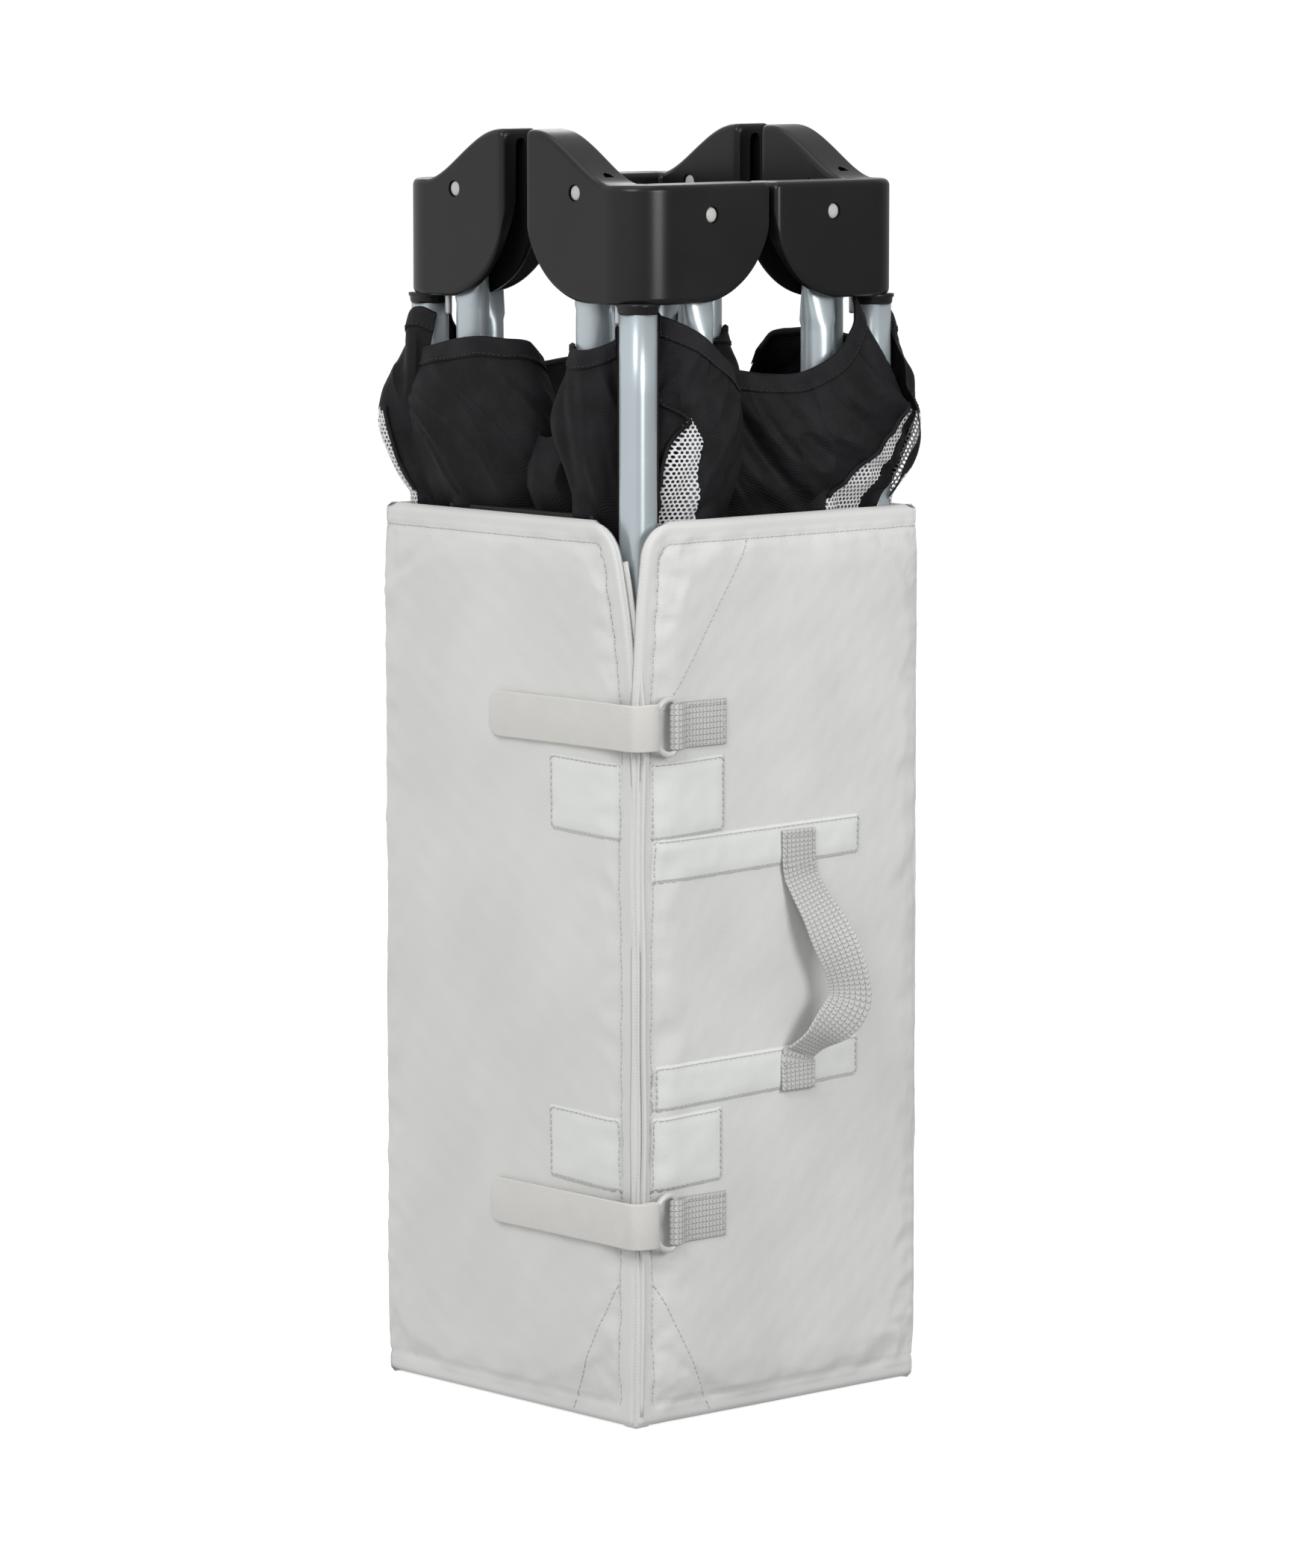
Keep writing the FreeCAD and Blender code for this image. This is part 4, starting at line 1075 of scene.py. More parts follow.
def laid_patch(name, side, corners, lift, thick, material, seed, step=3.0, wave=0.35):
    """A thin piece of cloth sewn on a pad. Its corners run round from the low start, as (along, height)."""
    (a0, z0), (a1, z1), (a2, z2), (a3, z3) = corners
    columns = max(6, int(abs(a1 - a0) / step))
    rows = max(6, int(abs(z3 - z0) / step))
    s, t = np.meshgrid(np.linspace(0, 1, columns), np.linspace(0, 1, rows))
    a = (a0 * (1 - s) + a1 * s) * (1 - t) + (a3 * (1 - s) + a2 * s) * t
    z = (z0 * (1 - s) + z1 * s) * (1 - t) + (z3 * (1 - s) + z2 * s) * t
    edge = np.minimum(np.minimum(s, 1 - s) * abs(a1 - a0), np.minimum(t, 1 - t) * abs(z3 - z0))
    puff = lift + wave * smooth(2, 8, edge) * (0.6 + ripple(a, z, seed, 34))
    puff -= 0.45 * np.exp(-((edge - 3) / 1.2) ** 2) + (lift + 0.3) * (1 - smooth(0, 1.2, edge))
    points = np.array([on_pad(side, x, y, h) for x, y, h in zip(a.ravel(), z.ravel(), puff.ravel())])
    made = piece(name, points, grid_faces(rows, columns), material,
                 uvs=np.stack([a.ravel() * MM, z.ravel() * MM], axis=1))
    made = thicken(outward(made), thick, 0.0)
    return made


class PLAYPEN_OT_pads(bpy.types.Operator):
    """Builds the four padded panels of the wrapped mat"""

    bl_idname = "playpen.pads"
    bl_label = "Mat Panels"

    def execute(self, context):
        rows = context.scene.playpen_mat.panel_rows
        swells = {side: None for side in SIDES}
        for seed, side in ((3, "south"), (8, "west"), (15, "north")):
            swells[side] = simulate_pad(seed, side, rows)
        swells["east"] = swells["north"][:, ::-1] * np.array((-1, 1, 1))
        for side in SIDES:
            pad = panel_piece(side, swells[side])
            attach(pad, f"mat_{side}")
            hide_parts(f"mat_panel_{side}")
        return {"FINISHED"}


class PLAYPEN_OT_mat_trim(bpy.types.Operator):
    """Sews the patches, bands, hems and stitch lines on the mat"""

    bl_idname = "playpen.mat_trim"
    bl_label = "Mat Trim"

    def execute(self, context):
        width = context.scene.playpen_mat.hem_width / MM + 1
        for side in ("south", "west"):
            heights = np.linspace(14, MAT_TOP - TOP_ROUND, 170)
            edge = [on_pad(side, float(seam_edge(np.array(h), side)) + width, h, 0.1) for h in heights]
            high_end = MAT_FACE - 3
            start = float(seam_edge(np.array(MAT_TOP - width), side))
            bend = []
            for turn in np.linspace(0, math.pi / 2, 14):
                reach = TOP_ROUND - width
                bend.append(on_pad(side, start + TOP_ROUND - reach * math.cos(turn),
                                   MAT_TOP - TOP_ROUND + reach * math.sin(turn), 0.1))
            top = pad_line(side, [(start + TOP_ROUND, MAT_TOP - width), (high_end, MAT_TOP - width)], 3, 0.1)
            foot_edge = float(seam_edge(np.array(12.0), side))
            if side == "south":
                diagonals = [[(foot_edge + width, 92), (foot_edge + 62, 6)],
                             [(start + 86, MAT_TOP - width - 2), (start + 44, MAT_TOP - 78),
                              (start + width, 470)]]
            else:
                diagonals = [[(foot_edge + width, 92), (foot_edge + 58, 6)]]
            lines = [edge + bend + top] + [pad_line(side, ends, 3, 0.1) for ends in diagonals]
            stitches(f"hem_stitches_{side}", lines, f"mat_{side}")
        for side in ("north", "east"):
            line = pad_line(side, [(-MAT_FACE + 3, MAT_TOP - width), (MAT_FACE - 3, MAT_TOP - width)], 3, 0.1)
            stitches(f"hem_stitches_{side}", [line], f"mat_{side}")
        self.patches()
        self.back_layer()
        return {"FINISHED"}

    def back_layer(self):
        """The lining's own hem, which stands out a little behind the west panel's seam edge."""
        heights = np.linspace(MAT_TOP - TOP_ROUND - 4, 8, 70)
        along = seam_edge(heights, "west") + SEAM_INSET
        path = side_point("west", along, np.full(70, MAT_FACE - 8.6), heights)
        made = ribbon("lining_hem", path, (0, 1, 0), 13, 2.2, "mat")
        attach(made, "mat_west")

    def patches(self):
        """Reinforcing squares beside the seam, and the bands that carry the handle."""
        near = -MAT_FACE + 15
        lines = {"south": [], "west": []}
        plan = []
        for number, (side, reach, low, high) in enumerate((
                ("south", 62, 384, 436), ("south", 60, 154, 204),
                ("west", 66, 384, 436), ("west", 68, 154, 204))):
            corners = [(near, low), (near + reach, low + 3), (near + reach, high + 2), (near, high)]
            plan.append((f"patch_{side}_{number}", side, corners, 40 + number))
        for number, (low, high) in enumerate(((356, 386), (207, 238))):
            corners = [(near + 2, low), (near + 182, low + 6), (near + 182, high + 3), (near + 2, high)]
            plan.append((f"handle_band_{number}", "south", corners, 60 + number))
        for name, side, corners, seed in plan:
            made = laid_patch(name, side, corners, 0.7, 0.5, "trim", seed)
            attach(made, f"mat_{side}")
            (a0, z0), (a1, z1), (a2, z2), (a3, z3) = corners
            abs(a1 - a0) * MM
            abs(z3 - z0) * MM
            inset = 2.4
            ring = [(a0 + inset, z0 + inset), (a1 - inset, z1 + inset), (a2 - inset, z2 - inset),
                    (a3 + inset, z3 - inset), (a0 + inset, z0 + inset)]
            lines[side].append(pad_line(side, ring, 2.5, 1.0))
        for side, runs in lines.items():
            stitches(f"patch_stitches_{side}", runs, f"mat_{side}", radius=0.00032)


# ---- straps, rings and handle --------------------------------------------------------------------


def ring_mesh(level, middle):
    """A D of round wire: a straight bar in the webbing loop and a bow that the strap turns round."""
    near, far = RING_LOW[0] + 2, RING_HIGH[0] - 2
    y = (RING_LOW[1] + RING_HIGH[1]) / 2
    half = (RING_HIGH[2] - RING_LOW[2]) / 2 - 2
    path = [(far, h) for h in np.linspace(-half + 4, half - 4, 10)]
    corner = [(far - 4 + 4 * math.cos(a), half - 4 + 4 * math.sin(a))
              for a in np.linspace(0, math.pi / 2, 6)]
    bow = [(far - 4 - (far - near - 4) * math.sin(a), half * math.cos(a))
           for a in np.linspace(0.12, math.pi - 0.12, 26)]
    path += corner + bow + [(x, -z) for x, z in corner[::-1]]
    path = np.array(path)
    closed = np.vstack([path, path[:1]])
    run = path_run(closed)
    even = np.linspace(0, run[-1], 72, endpoint=False)
    path = np.stack([np.interp(even, run, closed[:, k]) for k in range(2)], axis=1)
    tangent = np.roll(path, -1, 0) - np.roll(path, 1, 0)
    tangent /= np.linalg.norm(tangent, axis=1)[:, None]
    rings = []
    for (x, z), (tx, tz) in zip(path, tangent):
        rings.append([(x - tz * c, y + s, middle + z + tx * c) for c, s in circle(RING_WIRE, 14)])
    rings.append(rings[0])
    return loft(f"ring_{level}", rings, "ring", cap=False)


class PLAYPEN_OT_straps(bpy.types.Operator):
    """Builds the two tape straps, their rings and the webbing loops"""

    bl_idname = "playpen.straps"
    bl_label = "Straps And Rings"

    def execute(self, context):
        near = RING_LOW[0] + 2
        ring_y = (RING_LOW[1] + RING_HIGH[1]) / 2
        face = MAT_FACE
        for number, (level, middle) in enumerate(STRAPS.items()):
            tip = -face + 136
            # the upper ply, from its tip to the ring, round the bow and back under itself
            top_ply = [(-face - 4.6, a) for a in np.linspace(tip, -face + 14, 12)]
            turn = [(-face - 5.2, -face + 4), (-face - 3.6, -face - 3.4), (-face + 3, -face - 6.9),
                    (near - 2, ring_y - 3.3), (near + 2.6, ring_y - 1.4), (near + 2.6, ring_y + 1.6),
                    (near - 2, ring_y + 2.8), (-face + 2, -face - 2.6), (-face - 1.4, -face + 3)]
            low_ply = [(-face - 2.2, a) for a in np.linspace(-face + 14, tip + 5, 12)]
            flat = curve_points(top_ply + turn + low_ply, 150)
            heights = middle + 0.5 * np.sin(np.linspace(0, 5, len(flat)) + number)
            path = np.column_stack([flat, heights])
            tips = np.linspace(0, 1, 12) ** 2 * 3.2
            ends = np.concatenate([tips, np.arange(4, len(path) - 4), (len(path) - 1 - tips)[::-1]])
            path = np.column_stack([np.interp(ends, np.arange(len(path)), path[:, k]) for k in range(3)])
            strap = ribbon(f"tape_strap_{level}", path, (0, 0, 1), WEBBING_WIDE, 1.9, "tape", round_ends=7)
            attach(strap, f"strap_{level}")
            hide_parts(f"strap_{level}")
            ring = ring_mesh(level, middle)
            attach(ring, f"ring_{level}")
            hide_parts(f"d_ring_{level}")
            self.loop(level, middle, ring_y)
        return {"FINISHED"}

    def loop(self, level, middle, ring_y):
        """Webbing that passes through the ring's straight bar and is sewn down behind it."""
        far = RING_HIGH[0] - 2
        end = LOOP_HIGH[0]
        under = -MAT_FACE - 1.1
        poles = [(end - 1, under - 1.6), (end - 14, under - 1.7), (far + 12, under - 1.8),
                 (far + 5, ring_y - 2.6), (far, ring_y - 3.3), (far - 3.2, ring_y - 0.4),
                 (far, ring_y + 2.8), (far + 6, under + 0.4), (end - 16, under + 0.3)]
        path = curve_points(poles, 90)
        path = np.column_stack([path, np.full(len(path), middle)])
        made = ribbon(f"ring_webbing_{level}", path, (0, 0, 1), WEBBING_WIDE, 1.5, "webbing")
        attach(made, "mat_south")
        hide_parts(f"ring_loop_{level}")
        y = under - 2.5
        rows = [[(x, y, middle + h) for h in np.linspace(-13, 13, 14)] for x in (far + 14, end - 3)]
        rows += [[(x, y, middle + h) for x in np.linspace(far + 14, end - 3, 14)] for h in (-13, 13)]
        stitches(f"loop_stitches_{level}", rows, "mat_south", radius=0.0004)


class PLAYPEN_OT_handle(bpy.types.Operator):
    """Builds the webbing carry handle"""

    bl_idname = "playpen.handle"
    bl_label = "Carry Handle"

    def execute(self, context):
        middle_x = (HANDLE_LOW[0] + HANDLE_HIGH[0]) / 2
        low, high = HANDLE_LOW[2], HANDLE_HIGH[2]
        face = -MAT_FACE
        # sewn flat at both bands; between them it stands off and leans to one side with half a twist
        poles = [(0, -1.8, high), (0, -2.6, high - 14), (1, -3.4, high - 26), (5, -9, high - 42),
                 (11, -19, high - 62), (18, -29, high - 88), (21, -32, high - 108), (18, -29, low + 52),
                 (10, -20, low + 38), (3, -8, low + 27), (0, -3.2, low + 20), (0, -2.2, low + 8),
                 (0, -1.8, low)]
        path = curve_points(poles, 110) + np.array((middle_x, face, 0))
        skin = np.array([self.skin(middle_x, z) for z in path[:, 2]])
        path[:, 1] = np.minimum(path[:, 1], skin - 2.6)
        t = np.linspace(0, 1, len(path))
        lean = math.radians(62) * np.exp(-((t - 0.55) / 0.2) ** 2)
        across = np.column_stack([np.cos(lean), -np.sin(lean), np.zeros(len(path))])
        made = ribbon("webbing_handle", path, across, 29, 1.8, "webbing")
        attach(made, "handle")
        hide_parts("carry_handle")
        rows = []
        for foot, head in ((high - 24, high - 3), (low + 3, low + 18)):
            for x in (-SEWN_HALF, SEWN_HALF):
                rows.append([(middle_x + x, self.skin(middle_x, z) - 3.7, z)
                             for z in np.linspace(foot, head, 10)])
            for z in (foot, head):
                level = self.skin(middle_x, z) - 3.7
                rows.append([(middle_x + x, level, z) for x in np.linspace(-SEWN_HALF, SEWN_HALF, 12)])
        stitches("handle_stitches", rows, "handle", radius=0.0004)
        return {"FINISHED"}

    def skin(self, middle_x, height):
        """How far out the pad comes under the width of the webbing."""
        return min(on_pad("south", middle_x + x, height)[1] for x in (-14, 0, 14))


# ---- wall and floor cloth ------------------------------------------------------------------------

# Folds of the wall cloth. Each has its side, its hem as (along, out, height), and its plan as (along, out) at
# the heights in DRAPE_LEVELS, from the hem down to the floor of the folded pack.
DRAPE_LEVELS = (652, 612, 582, 500, 96)
DRAPES = {
    # beside the near post, round the half of the long rail
    "near_long": ("south", [(-94, 99, 723), (-84, 111, 719), (-66, 121, 709), (-46, 123, 692),
                            (-31, 115, 675), (-27, 99, 668), (-35, 84, 674)], (
        [(-95, 98), (-87, 110), (-68, 125), (-46, 130), (-29, 123), (-24, 104), (-34, 84)],
        [(-95, 96), (-87, 107), (-70, 119), (-48, 123), (-31, 117), (-27, 100), (-34, 84)],
        [(-93, 92), (-86, 100), (-72, 107), (-50, 109), (-35, 106), (-31, 95), (-35, 82)],
        [(-92, 84), (-82, 83), (-70, 82), (-58, 81), (-47, 80), (-38, 79), (-32, 78)],
        [(-74, 80), (-70, 79), (-62, 80), (-54, 79), (-46, 80), (-38, 79), (-32, 80)])),
    # from the middle of the long side up to the far post's stud
    "far_long": ("south", [(-19, 84, 684), (-8, 93, 682), (10, 102, 679), (32, 113, 680), (54, 122, 692),
                           (69, 122, 708), (76, 118, 722), (80, 112, 728)], (
        [(-21, 85), (-7, 97), (14, 108), (38, 122), (62, 131), (86, 134), (106, 132), (119, 125)],
        [(-20, 84), (-6, 95), (14, 105), (38, 117), (60, 123), (80, 125), (98, 123), (110, 118)],
        [(-20, 80), (-6, 88), (14, 94), (36, 103), (56, 108), (72, 110), (86, 110), (96, 106)],
        [(-18, 78), (-6, 79), (10, 80), (28, 81), (46, 82), (62, 83), (76, 84), (86, 84)],
        [(-20, 80), (-8, 79), (6, 80), (20, 79), (34, 80), (48, 79), (60, 80), (73, 79)])),
    # beside the near post on the short side
    "near_short": ("west", [(-95, 100, 715), (-88, 110, 705), (-76, 119, 699), (-62, 120, 698),
                            (-52, 114, 701), (-49, 100, 702), (-57, 86, 700)], (
        [(-95, 99), (-88, 110), (-74, 123), (-53, 126), (-36, 118), (-31, 101), (-43, 85)],
        [(-95, 97), (-88, 107), (-76, 118), (-60, 120), (-45, 113), (-41, 98), (-50, 84)],
        [(-93, 92), (-86, 100), (-74, 107), (-60, 108), (-48, 103), (-44, 93), (-50, 82)],
        [(-92, 84), (-84, 83), (-75, 82), (-65, 81), (-56, 80), (-50, 79), (-46, 78)],
        [(-74, 80), (-70, 79), (-65, 80), (-60, 79), (-55, 80), (-50, 79), (-46, 80)])),
    # round the far half of the short rail
    "far_short": ("west", [(14, 84, 690), (9, 100, 700), (17, 114, 702), (35, 121, 703), (58, 123, 700),
                           (79, 122, 696), (95, 116, 693), (99, 104, 692)], (
        [(-2, 82), (-10, 98), (-4, 113), (16, 124), (48, 130), (79, 130), (100, 124), (108, 108)],
        [(4, 80), (-3, 96), (4, 109), (22, 119), (50, 124), (79, 124), (97, 119), (103, 104)],
        [(8, 80), (4, 91), (10, 101), (26, 107), (52, 110), (77, 110), (91, 107), (97, 97)],
        [(6, 78), (10, 79), (20, 80), (34, 81), (52, 82), (68, 82), (80, 83), (88, 84)],
        [(4, 80), (12, 79), (22, 80), (32, 79), (42, 80), (52, 79), (62, 80), (72, 79)])),
    # the low fold between them
    "low_short": ("west", [(15, 86, 658), (5, 97, 650), (-8, 106, 643), (-22, 109, 640), (-37, 104, 645),
                           (-47, 93, 654)], (
        [(15, 87), (5, 98), (-8, 107), (-22, 110), (-37, 105), (-47, 94)],
        [(14, 90), (4, 105), (-8, 116), (-22, 120), (-37, 114), (-48, 98)],
        [(14, 84), (4, 95), (-8, 103), (-22, 106), (-36, 102), (-46, 91)],
        [(10, 77), (2, 78), (-8, 79), (-18, 79), (-28, 78), (-38, 77)],
        [(8, 76), (0, 75), (-8, 76), (-18, 75), (-28, 76), (-36, 75)])),
    # the corner beyond the far post
    "far_corner": ("west", [(88, 112, 716), (96, 118, 720), (106, 118, 718), (114, 112, 711)], (
        [(97, 120), (112, 127), (128, 125), (138, 114)],
        [(94, 118), (105, 123), (118, 121), (127, 112)],
        [(90, 108), (98, 110), (107, 109), (113, 104)],
        [(84, 84), (88, 85), (91, 86), (94, 87)],
        [(72, 82), (74, 82), (76, 83), (78, 84)])),
}
DRAPE_HOMES = {"near_long": ("sw", "ne"), "far_long": ("se", "nw"), "near_short": ("sw", "ne"),
               "far_short": ("nw", "se"), "low_short": ("nw", "se"), "far_corner": ("nw", "se")}
# fold lines lean one way or the other on their way down
DRAPE_LEAN = {"near_long": 0.35, "far_long": -0.75, "near_short": 0.25, "far_short": 0.7, "low_short": 0.3,
              "far_corner": 0.5}
OPPOSITE = {"south": "north", "west": "east"}


def drape_grid(name, seed, columns=110, rows=110):
    """A fold of cloth as a grid of (along, out, height), hem first, with its creases."""
    _, hem, plans = DRAPES[name]
    levels = [curve_points(hem, columns)]
    for height, plan in zip(DRAPE_LEVELS, plans):
        level = curve_points(plan, columns)
        z = np.minimum(np.full(columns, float(height)), levels[-1][:, 2] - 2.0)
        levels.append(np.column_stack([level, z]))
    levels = np.stack(levels)
    # rows are close together where the cloth shows, and wide apart inside the pack
    fine = np.stack([curve_points(levels[:, c], 260) for c in range(columns)], axis=1)
    share = np.linspace(0, 1, rows)
    pick = (260 - 1) * (0.30 * share + 0.70 * share ** 3)
    low = np.minimum(pick.astype(int), 258)
    grid = fine[low] * (1 - (pick - low))[:, None, None] + fine[low + 1] * (pick - low)[:, None, None]
    run = np.cumsum(np.linalg.norm(np.diff(grid, axis=0, prepend=grid[:1]), axis=2), axis=0)
    reach = np.cumsum(np.linalg.norm(np.diff(grid, axis=1, prepend=grid[:, :1]), axis=2), axis=1)
    lean = DRAPE_LEAN[name]
    u = reach + lean * run
    broad = ripple(u, run * 0.30, seed, 52)
    ridge = 1 - 2 * np.sqrt(np.abs(ripple(u * 1.15 + 7, run * 0.22, seed + 3, 64)) + 0.02)
    fine_fold = ripple(u, run * 0.8, seed + 5, 17)
    hold = smooth(0, 34, run)
    push = (broad * 3.8 + ridge * 2.2) * (0.30 + 0.70 * hold) + fine_fold * 0.28 * hold
    push = push * (0.35 + 0.65 * smooth(586, 618, grid[..., 2])) * smooth(0, 14, reach)
    normal = grid_normals(grid)
    if normal[:40, ..., 1].mean() < 0:
        normal = -normal
    return over_tubes(grid + normal * push[..., None], DRAPES[name][0]), reach


def over_tubes(grid, side):
    """Keeps the cloth outside the posts and rails where it shows above the mat."""
    along, out, height = (grid[..., k] for k in range(3))
    pin = LONG_PIN if side == "south" else SHORT_PIN
    for centre in (-AXIS, -pin, pin, AXIS):
        gap = np.abs(along - centre)
        clear = AXIS + np.sqrt(np.maximum(TUBE_CLEAR ** 2 - gap ** 2, 0))
        shown = smooth(583, 590, height) * (gap < TUBE_CLEAR) * (out > 84)
        out += shown * np.maximum(clear - out, 0)
    return grid


def drape_windows(name, along, height):
    """Which faces are net: the edge of the window shows along some folds."""
    if name == "near_long":
        left = np.interp(height, (590, 633, 655), (-90, -86, -74))
        right = np.interp(height, (590, 620, 640, 656), (-63, -67, -64, -73))
        return (along > left) & (along < right) & (height > 570) & (height < 655)
    if name == "far_long":
        edge = np.interp(height, (596, 656), (50, 112))
        wide = np.interp(height, (596, 656), (34, 5))
        return (along > edge) & (along < edge + wide) & (height > 560) & (height < 657)
    if name == "far_corner":
        edge = np.interp(height, (596, 650), (102, 122))
        return (along > edge) & (along < edge + 15) & (height > 560) & (height < 652)
    return np.zeros(len(along), bool)


class PLAYPEN_OT_walls(bpy.types.Operator):
    """Builds the black wall cloth that swells over the mat in folds, with its hems, windows and piping"""

    bl_idname = "playpen.walls"
    bl_label = "Wall Cloth"

    def execute(self, context):
        replaced = {("near_long", 0): "wall_fabric_south", ("near_long", 1): "wall_fabric_north",
                    ("far_short", 0): "wall_fabric_west", ("far_short", 1): "wall_fabric_east"}
        for turn in (0, 1):
            for number, name in enumerate(DRAPES):
                side = DRAPES[name][0] if turn == 0 else OPPOSITE[DRAPES[name][0]]
                body = "post_" + DRAPE_HOMES[name][turn]
                made = self.drape(name, f"{name}_{side}", side, 50 + 9 * number + 31 * turn, body)
                if (name, turn) in replaced:
                    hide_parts(replaced[name, turn])
        return {"FINISHED"}

    def drape(self, name, label, side, seed, body):
        fine = (190, 170) if name in ("near_long", "far_long") else (110, 110)
        grid, reach = drape_grid(name, seed, *fine)
        rows, columns = grid.shape[:2]
        faces = np.array(grid_faces(rows, columns))
        flat = grid.reshape(-1, 3)
        slots = drape_windows(name, flat[faces, 0].mean(1), flat[faces, 2].mean(1)).astype(int)
        points = side_point(side, grid[..., 0], grid[..., 1], grid[..., 2])
        uvs = flat[:, (0, 2)] * MM
        made = piece(f"cloth_{label}", points.reshape(-1, 3), faces, ["cloth", "net"], uvs, slots)
        self.face_out(made, side)
        made = thicken(made, 0.8, -1.0)
        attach(made, body)
        if name != "low_short":
            self.hem(label, points, side, body)
        if name in ("near_long", "far_long", "far_corner"):
            self.piping(name, label, grid, side, body)
        return made

    def face_out(self, made, side):
        """Turns an open sheet so that its faces look outwards."""
        way = SIDES[side][0]
        if sum(np.dot(np.array(p.normal), way) * p.area for p in made.data.polygons if p.center.z > 0.57) < 0:
            made.data.flip_normals()

    def hem(self, label, points, side, body):
        """The doubled top edge of a fold, with its stitch line below."""
        normal = grid_normals(points)
        if (normal[:20] @ SIDES[side][0]).mean() < 0:
            normal = -normal
        depth = path_run(points[:, points.shape[1] // 2])[1:]
        rows = int(np.searchsorted(depth, 11.0)) + 2
        lift = np.interp(np.arange(rows), (0, 1, rows - 1), (0.7, 1.0, 0.75))[:, None, None]
        outer = points[:rows] + normal[:rows] * lift
        over = points[:1] + np.array((0, 0, 1.1))
        inner = (points[:3] - normal[:3] * 1.7)[::-1]
        grid = np.concatenate([inner, over, outer])
        made = piece(f"hem_{label}", grid.reshape(-1, 3), grid_faces(len(grid), grid.shape[1]), "hem")
        made = thicken(outward(made), 0.6, 0.0)
        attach(made, body)
        line = points[rows - 2] + normal[rows - 2] * 1.2
        stitches(f"hem_stitches_{label}", [line[2:-2]], body, "black_thread", step=0.0036, radius=0.00035)

    def piping(self, name, label, grid, side, body):
        """A cord of cloth along the edge of a window."""
        if name == "near_long":
            poles = [(-92, 668), (-83, 662), (-74, 655), (-80, 645), (-86, 633), (-89, 612), (-90, 594)]
        elif name == "far_long":
            poles = [(113, 658), (98, 642), (81, 626), (62, 608), (50, 597)]
        else:
            poles = [(123, 654), (117, 636), (109, 614), (102, 598)]
        flat = grid.reshape(-1, 3)
        path = []
        for along, height in curve_points(poles, 44):
            away = (flat[:, 0] - along) ** 2 + (flat[:, 2] - height) ** 2 + 0.02 * (flat[:, 1] - 120) ** 2
            nearest = np.argmin(away)
            path.append(side_point(side, along, flat[nearest, 1] + 0.8, height))
        path = curve_points(np.array(path)[::3], 60)
        made = ribbon(f"piping_{label}", path, np.cross(SIDES[side][0], (0, 0, 1)), 3.4, 2.4, "hem")
        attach(made, body)


class PLAYPEN_OT_floor_cloth(bpy.types.Operator):
    """Builds the floor cloth that is bunched over the hub, and the webbing strap that lifts the hub"""

    bl_idname = "playpen.floor_cloth"
    bl_label = "Floor Cloth"

    def execute(self, context):
        low, high = node_box("floor_fabric")
        columns, rows = 96, 40
        angles = np.linspace(0, 2 * math.pi, columns, endpoint=False)
        t = np.linspace(0, 1, rows)[:, None]
        a = angles[None, :]
        folds = 0.5 * np.sin(7 * a + 2 * t) + 0.35 * np.sin(11 * a - 3 * t + 1) + 0.25 * np.sin(4 * a + 5 * t)
        reach = (62 - 50 * smooth(0.45, 1.0, t)) * (1 + 0.10 * folds)
        square = 1 / np.maximum(np.abs(np.cos(a)), np.abs(np.sin(a))) ** 0.6
        z = low[2] + 1 + (high[2] - low[2] - 4) * (t ** 0.8) + 3 * folds * smooth(0.2, 0.6, t)
        points = np.stack([reach * square * np.cos(a), reach * square * np.sin(a), z + 0 * a], axis=-1)
        faces = grid_faces(rows, columns, closed=True)
        made = piece("floor_cloth", points.reshape(-1, 3), faces, "cloth")
        made = thicken(outward(made), 1.2, 0.0)
        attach(made, "hub")
        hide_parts("floor_fabric")
        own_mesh(made)
        self.pull_strap()
        return {"FINISHED"}

    def pull_strap(self):
        """The loop of webbing that lifts the hub."""
        low, high = node_box("hub_pull_strap")
        size, middle = high - low, (low + high) / 2
        across = 0 if size[0] > size[1] else 1
        half, top = size[1 - across] / 2 - 1.5, high[2] - 1.5
        path = np.tile(middle, (5, 1))
        path[:, 1 - across] += np.array((-half, -half, 0, half, half))
        path[:, 2] = (low[2], top - half, top, top - half, low[2])
        made = ribbon("hub_strap", curve_points(path, 60), np.eye(3)[across], size[across], 2.4, "webbing")
        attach(made, "hub")
        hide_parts("hub_pull_strap")
        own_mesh(made)


# ---- stage ---------------------------------------------------------------------------------------


def soft_light(name, place, target, size, power, tint=(1, 1, 1)):
    light = bpy.data.lights.new(name, "AREA")
    light.shape, light.size, light.energy, light.color = "SQUARE", size, power, tint
    made = add_object(name, light)
    made.location = place
    made.rotation_euler = (Vector(target) - Vector(place)).to_track_quat("-Z", "Y").to_euler()


def soft_sky():
    """A white surround whose light is stronger from the left than from the right."""
    world = bpy.data.worlds.new("studio")
    world.use_nodes = True
    tree = world.node_tree
    facing = tree.nodes.new("ShaderNodeTexCoord")
    slope = tree.nodes.new("ShaderNodeVectorMath")
    slope.operation = "DOT_PRODUCT"
    slope.inputs[1].default_value = (-0.26, 0.23, 0.08)
    level = tree.nodes.new("ShaderNodeMath")
    level.inputs[1].default_value = 0.57
    seen = tree.nodes.new("ShaderNodeLightPath")
    most = tree.nodes.new("ShaderNodeMath")
    most.operation = "MAXIMUM"
    tree.links.new(facing.outputs["Generated"], slope.inputs[0])
    tree.links.new(slope.outputs["Value"], level.inputs[0])
    tree.links.new(level.outputs[0], most.inputs[0])
    tree.links.new(seen.outputs["Is Camera Ray"], most.inputs[1])
    tree.nodes["Background"].inputs[0].default_value = (1, 1, 1, 1)
    tree.links.new(most.outputs[0], tree.nodes["Background"].inputs[1])
    return world


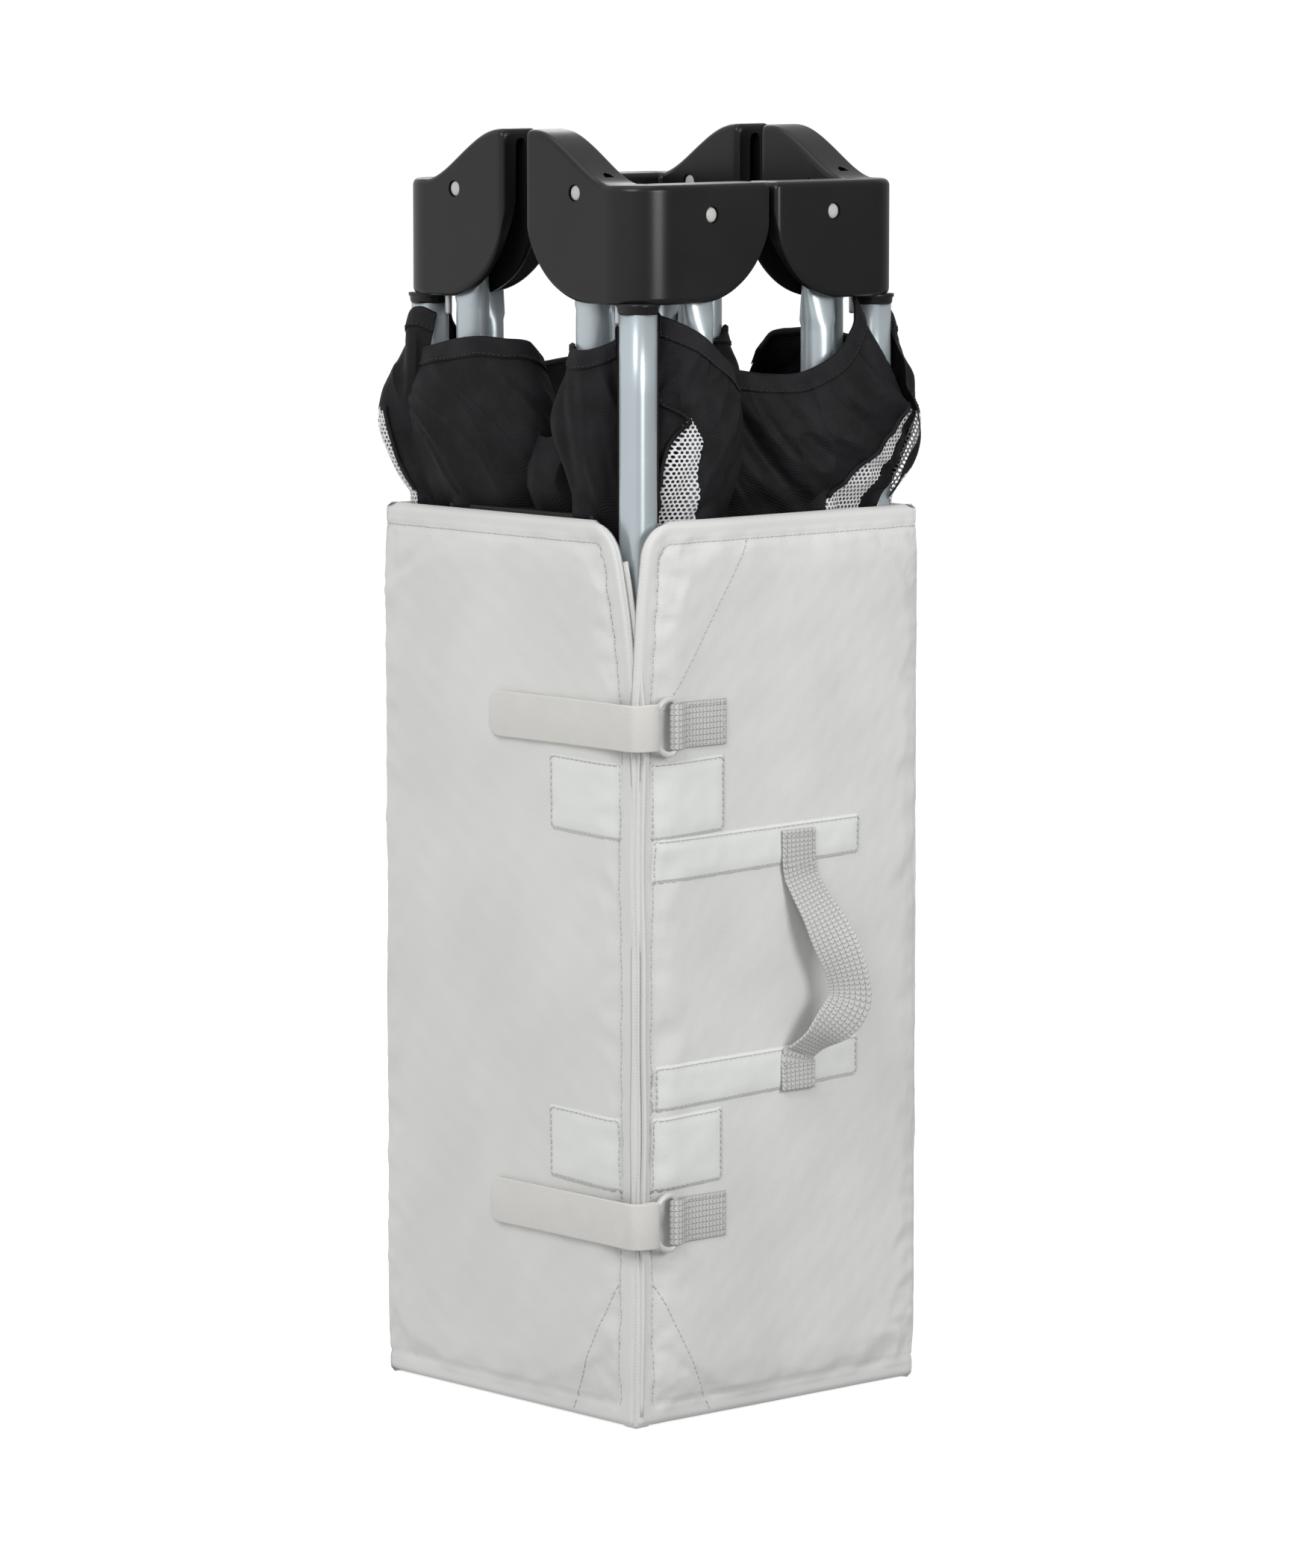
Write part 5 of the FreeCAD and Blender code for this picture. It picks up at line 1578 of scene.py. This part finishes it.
class PLAYPEN_OT_stage(bpy.types.Operator):
    """Sets the floor, the soft light and the camera"""

    bl_idname = "playpen.stage"
    bl_label = "Stage"

    def execute(self, context):
        scene = context.scene
        floor_material = bpy.data.materials.new("pale floor")
        floor_material.use_nodes = True
        surface = floor_material.node_tree.nodes["Principled BSDF"]
        surface.inputs["Base Color"].default_value = (0.93, 0.93, 0.93, 1)
        surface.inputs["Roughness"].default_value = 0.9
        surface.inputs["Emission Color"].default_value = (1, 1, 1, 1)
        surface.inputs["Emission Strength"].default_value = 0.45
        mesh = bpy.data.meshes.new("floor")
        corners = [(x * FLOOR_HALF, y * FLOOR_HALF, FLOOR_LEVEL)
                   for x, y in ((-1, -1), (1, -1), (1, 1), (-1, 1))]
        mesh.from_pydata(corners, [], [(0, 1, 2, 3)])
        mesh.materials.append(floor_material)
        floor = add_object("floor", mesh)
        floor.visible_diffuse = floor.visible_glossy = floor.visible_shadow = False
        scene.world = soft_sky()
        scene.view_settings.view_transform = "Standard"
        middle = (0, 0, 0.42)
        soft_light("key light", (-2.0, -1.0, 2.1), middle, 1.2, 27)
        soft_light("fill light", (0.3, -2.6, 1.2), middle, 1.2, 37)
        soft_light("rim light", (1.2, 1.8, 1.8), middle, 1.0, 8)
        soft_light("top light", (0, 0, 2.6), middle, 1.2, 5)
        heading, pitch = math.radians(41.8), math.radians(7.0)
        depth, camera_height, offset = 4.221, 0.942, 0.009
        forward = Vector((math.sin(heading), math.cos(heading), 0))
        right = Vector((math.cos(heading), -math.sin(heading), 0))
        corner = Vector((-MAT_FACE * MM, -MAT_FACE * MM, 0))
        camera = bpy.data.cameras.new("camera")
        camera.lens, camera.sensor_width = 152.06, 36
        made = add_object("camera", camera)
        made.location = corner - forward * depth + right * offset + Vector((0, 0, camera_height))
        made.rotation_euler = (math.pi / 2 - pitch, 0, -heading)
        scene.camera = made
        return {"FINISHED"}


class PLAYPEN_PT_panel(bpy.types.Panel):
    """Lists the settings and the pieces of the playpen"""

    bl_idname = "PLAYPEN_PT_panel"
    bl_label = "Folded Playpen"
    bl_space_type = "VIEW_3D"
    bl_region_type = "UI"
    bl_category = "Playpen"

    def draw(self, context):
        for group in ("playpen_frame", "playpen_mat", "playpen_cloth"):
            box = self.layout.box()
            settings = getattr(context.scene, group)
            for name in settings.bl_rna.properties.keys():
                if name not in ("rna_type", "name"):
                    box.prop(settings, name)
        for operator in OPERATORS:
            self.layout.operator(operator.bl_idname)


OPERATORS = (PLAYPEN_OT_tubes, PLAYPEN_OT_caps, PLAYPEN_OT_pins, PLAYPEN_OT_works, PLAYPEN_OT_pads,
             PLAYPEN_OT_mat_trim, PLAYPEN_OT_straps, PLAYPEN_OT_handle, PLAYPEN_OT_walls,
             PLAYPEN_OT_floor_cloth, PLAYPEN_OT_stage)
GROUPS = {"playpen_frame": PlaypenFrameSettings, "playpen_mat": PlaypenMatSettings,
          "playpen_cloth": PlaypenClothSettings}


def register():
    for name, group in GROUPS.items():
        bpy.utils.register_class(group)
        setattr(bpy.types.Scene, name, PointerProperty(type=group))
    for made in (*OPERATORS, PLAYPEN_PT_panel):
        bpy.utils.register_class(made)


def unregister():
    for made in (PLAYPEN_PT_panel, *OPERATORS[::-1]):
        bpy.utils.unregister_class(made)
    for name, group in GROUPS.items():
        delattr(bpy.types.Scene, name)
        bpy.utils.unregister_class(group)


def main():
    register()
    make_materials()
    for operator in OPERATORS:
        getattr(bpy.ops.playpen, operator.bl_idname.split(".")[1])()


if __name__ == "__main__":
    main()
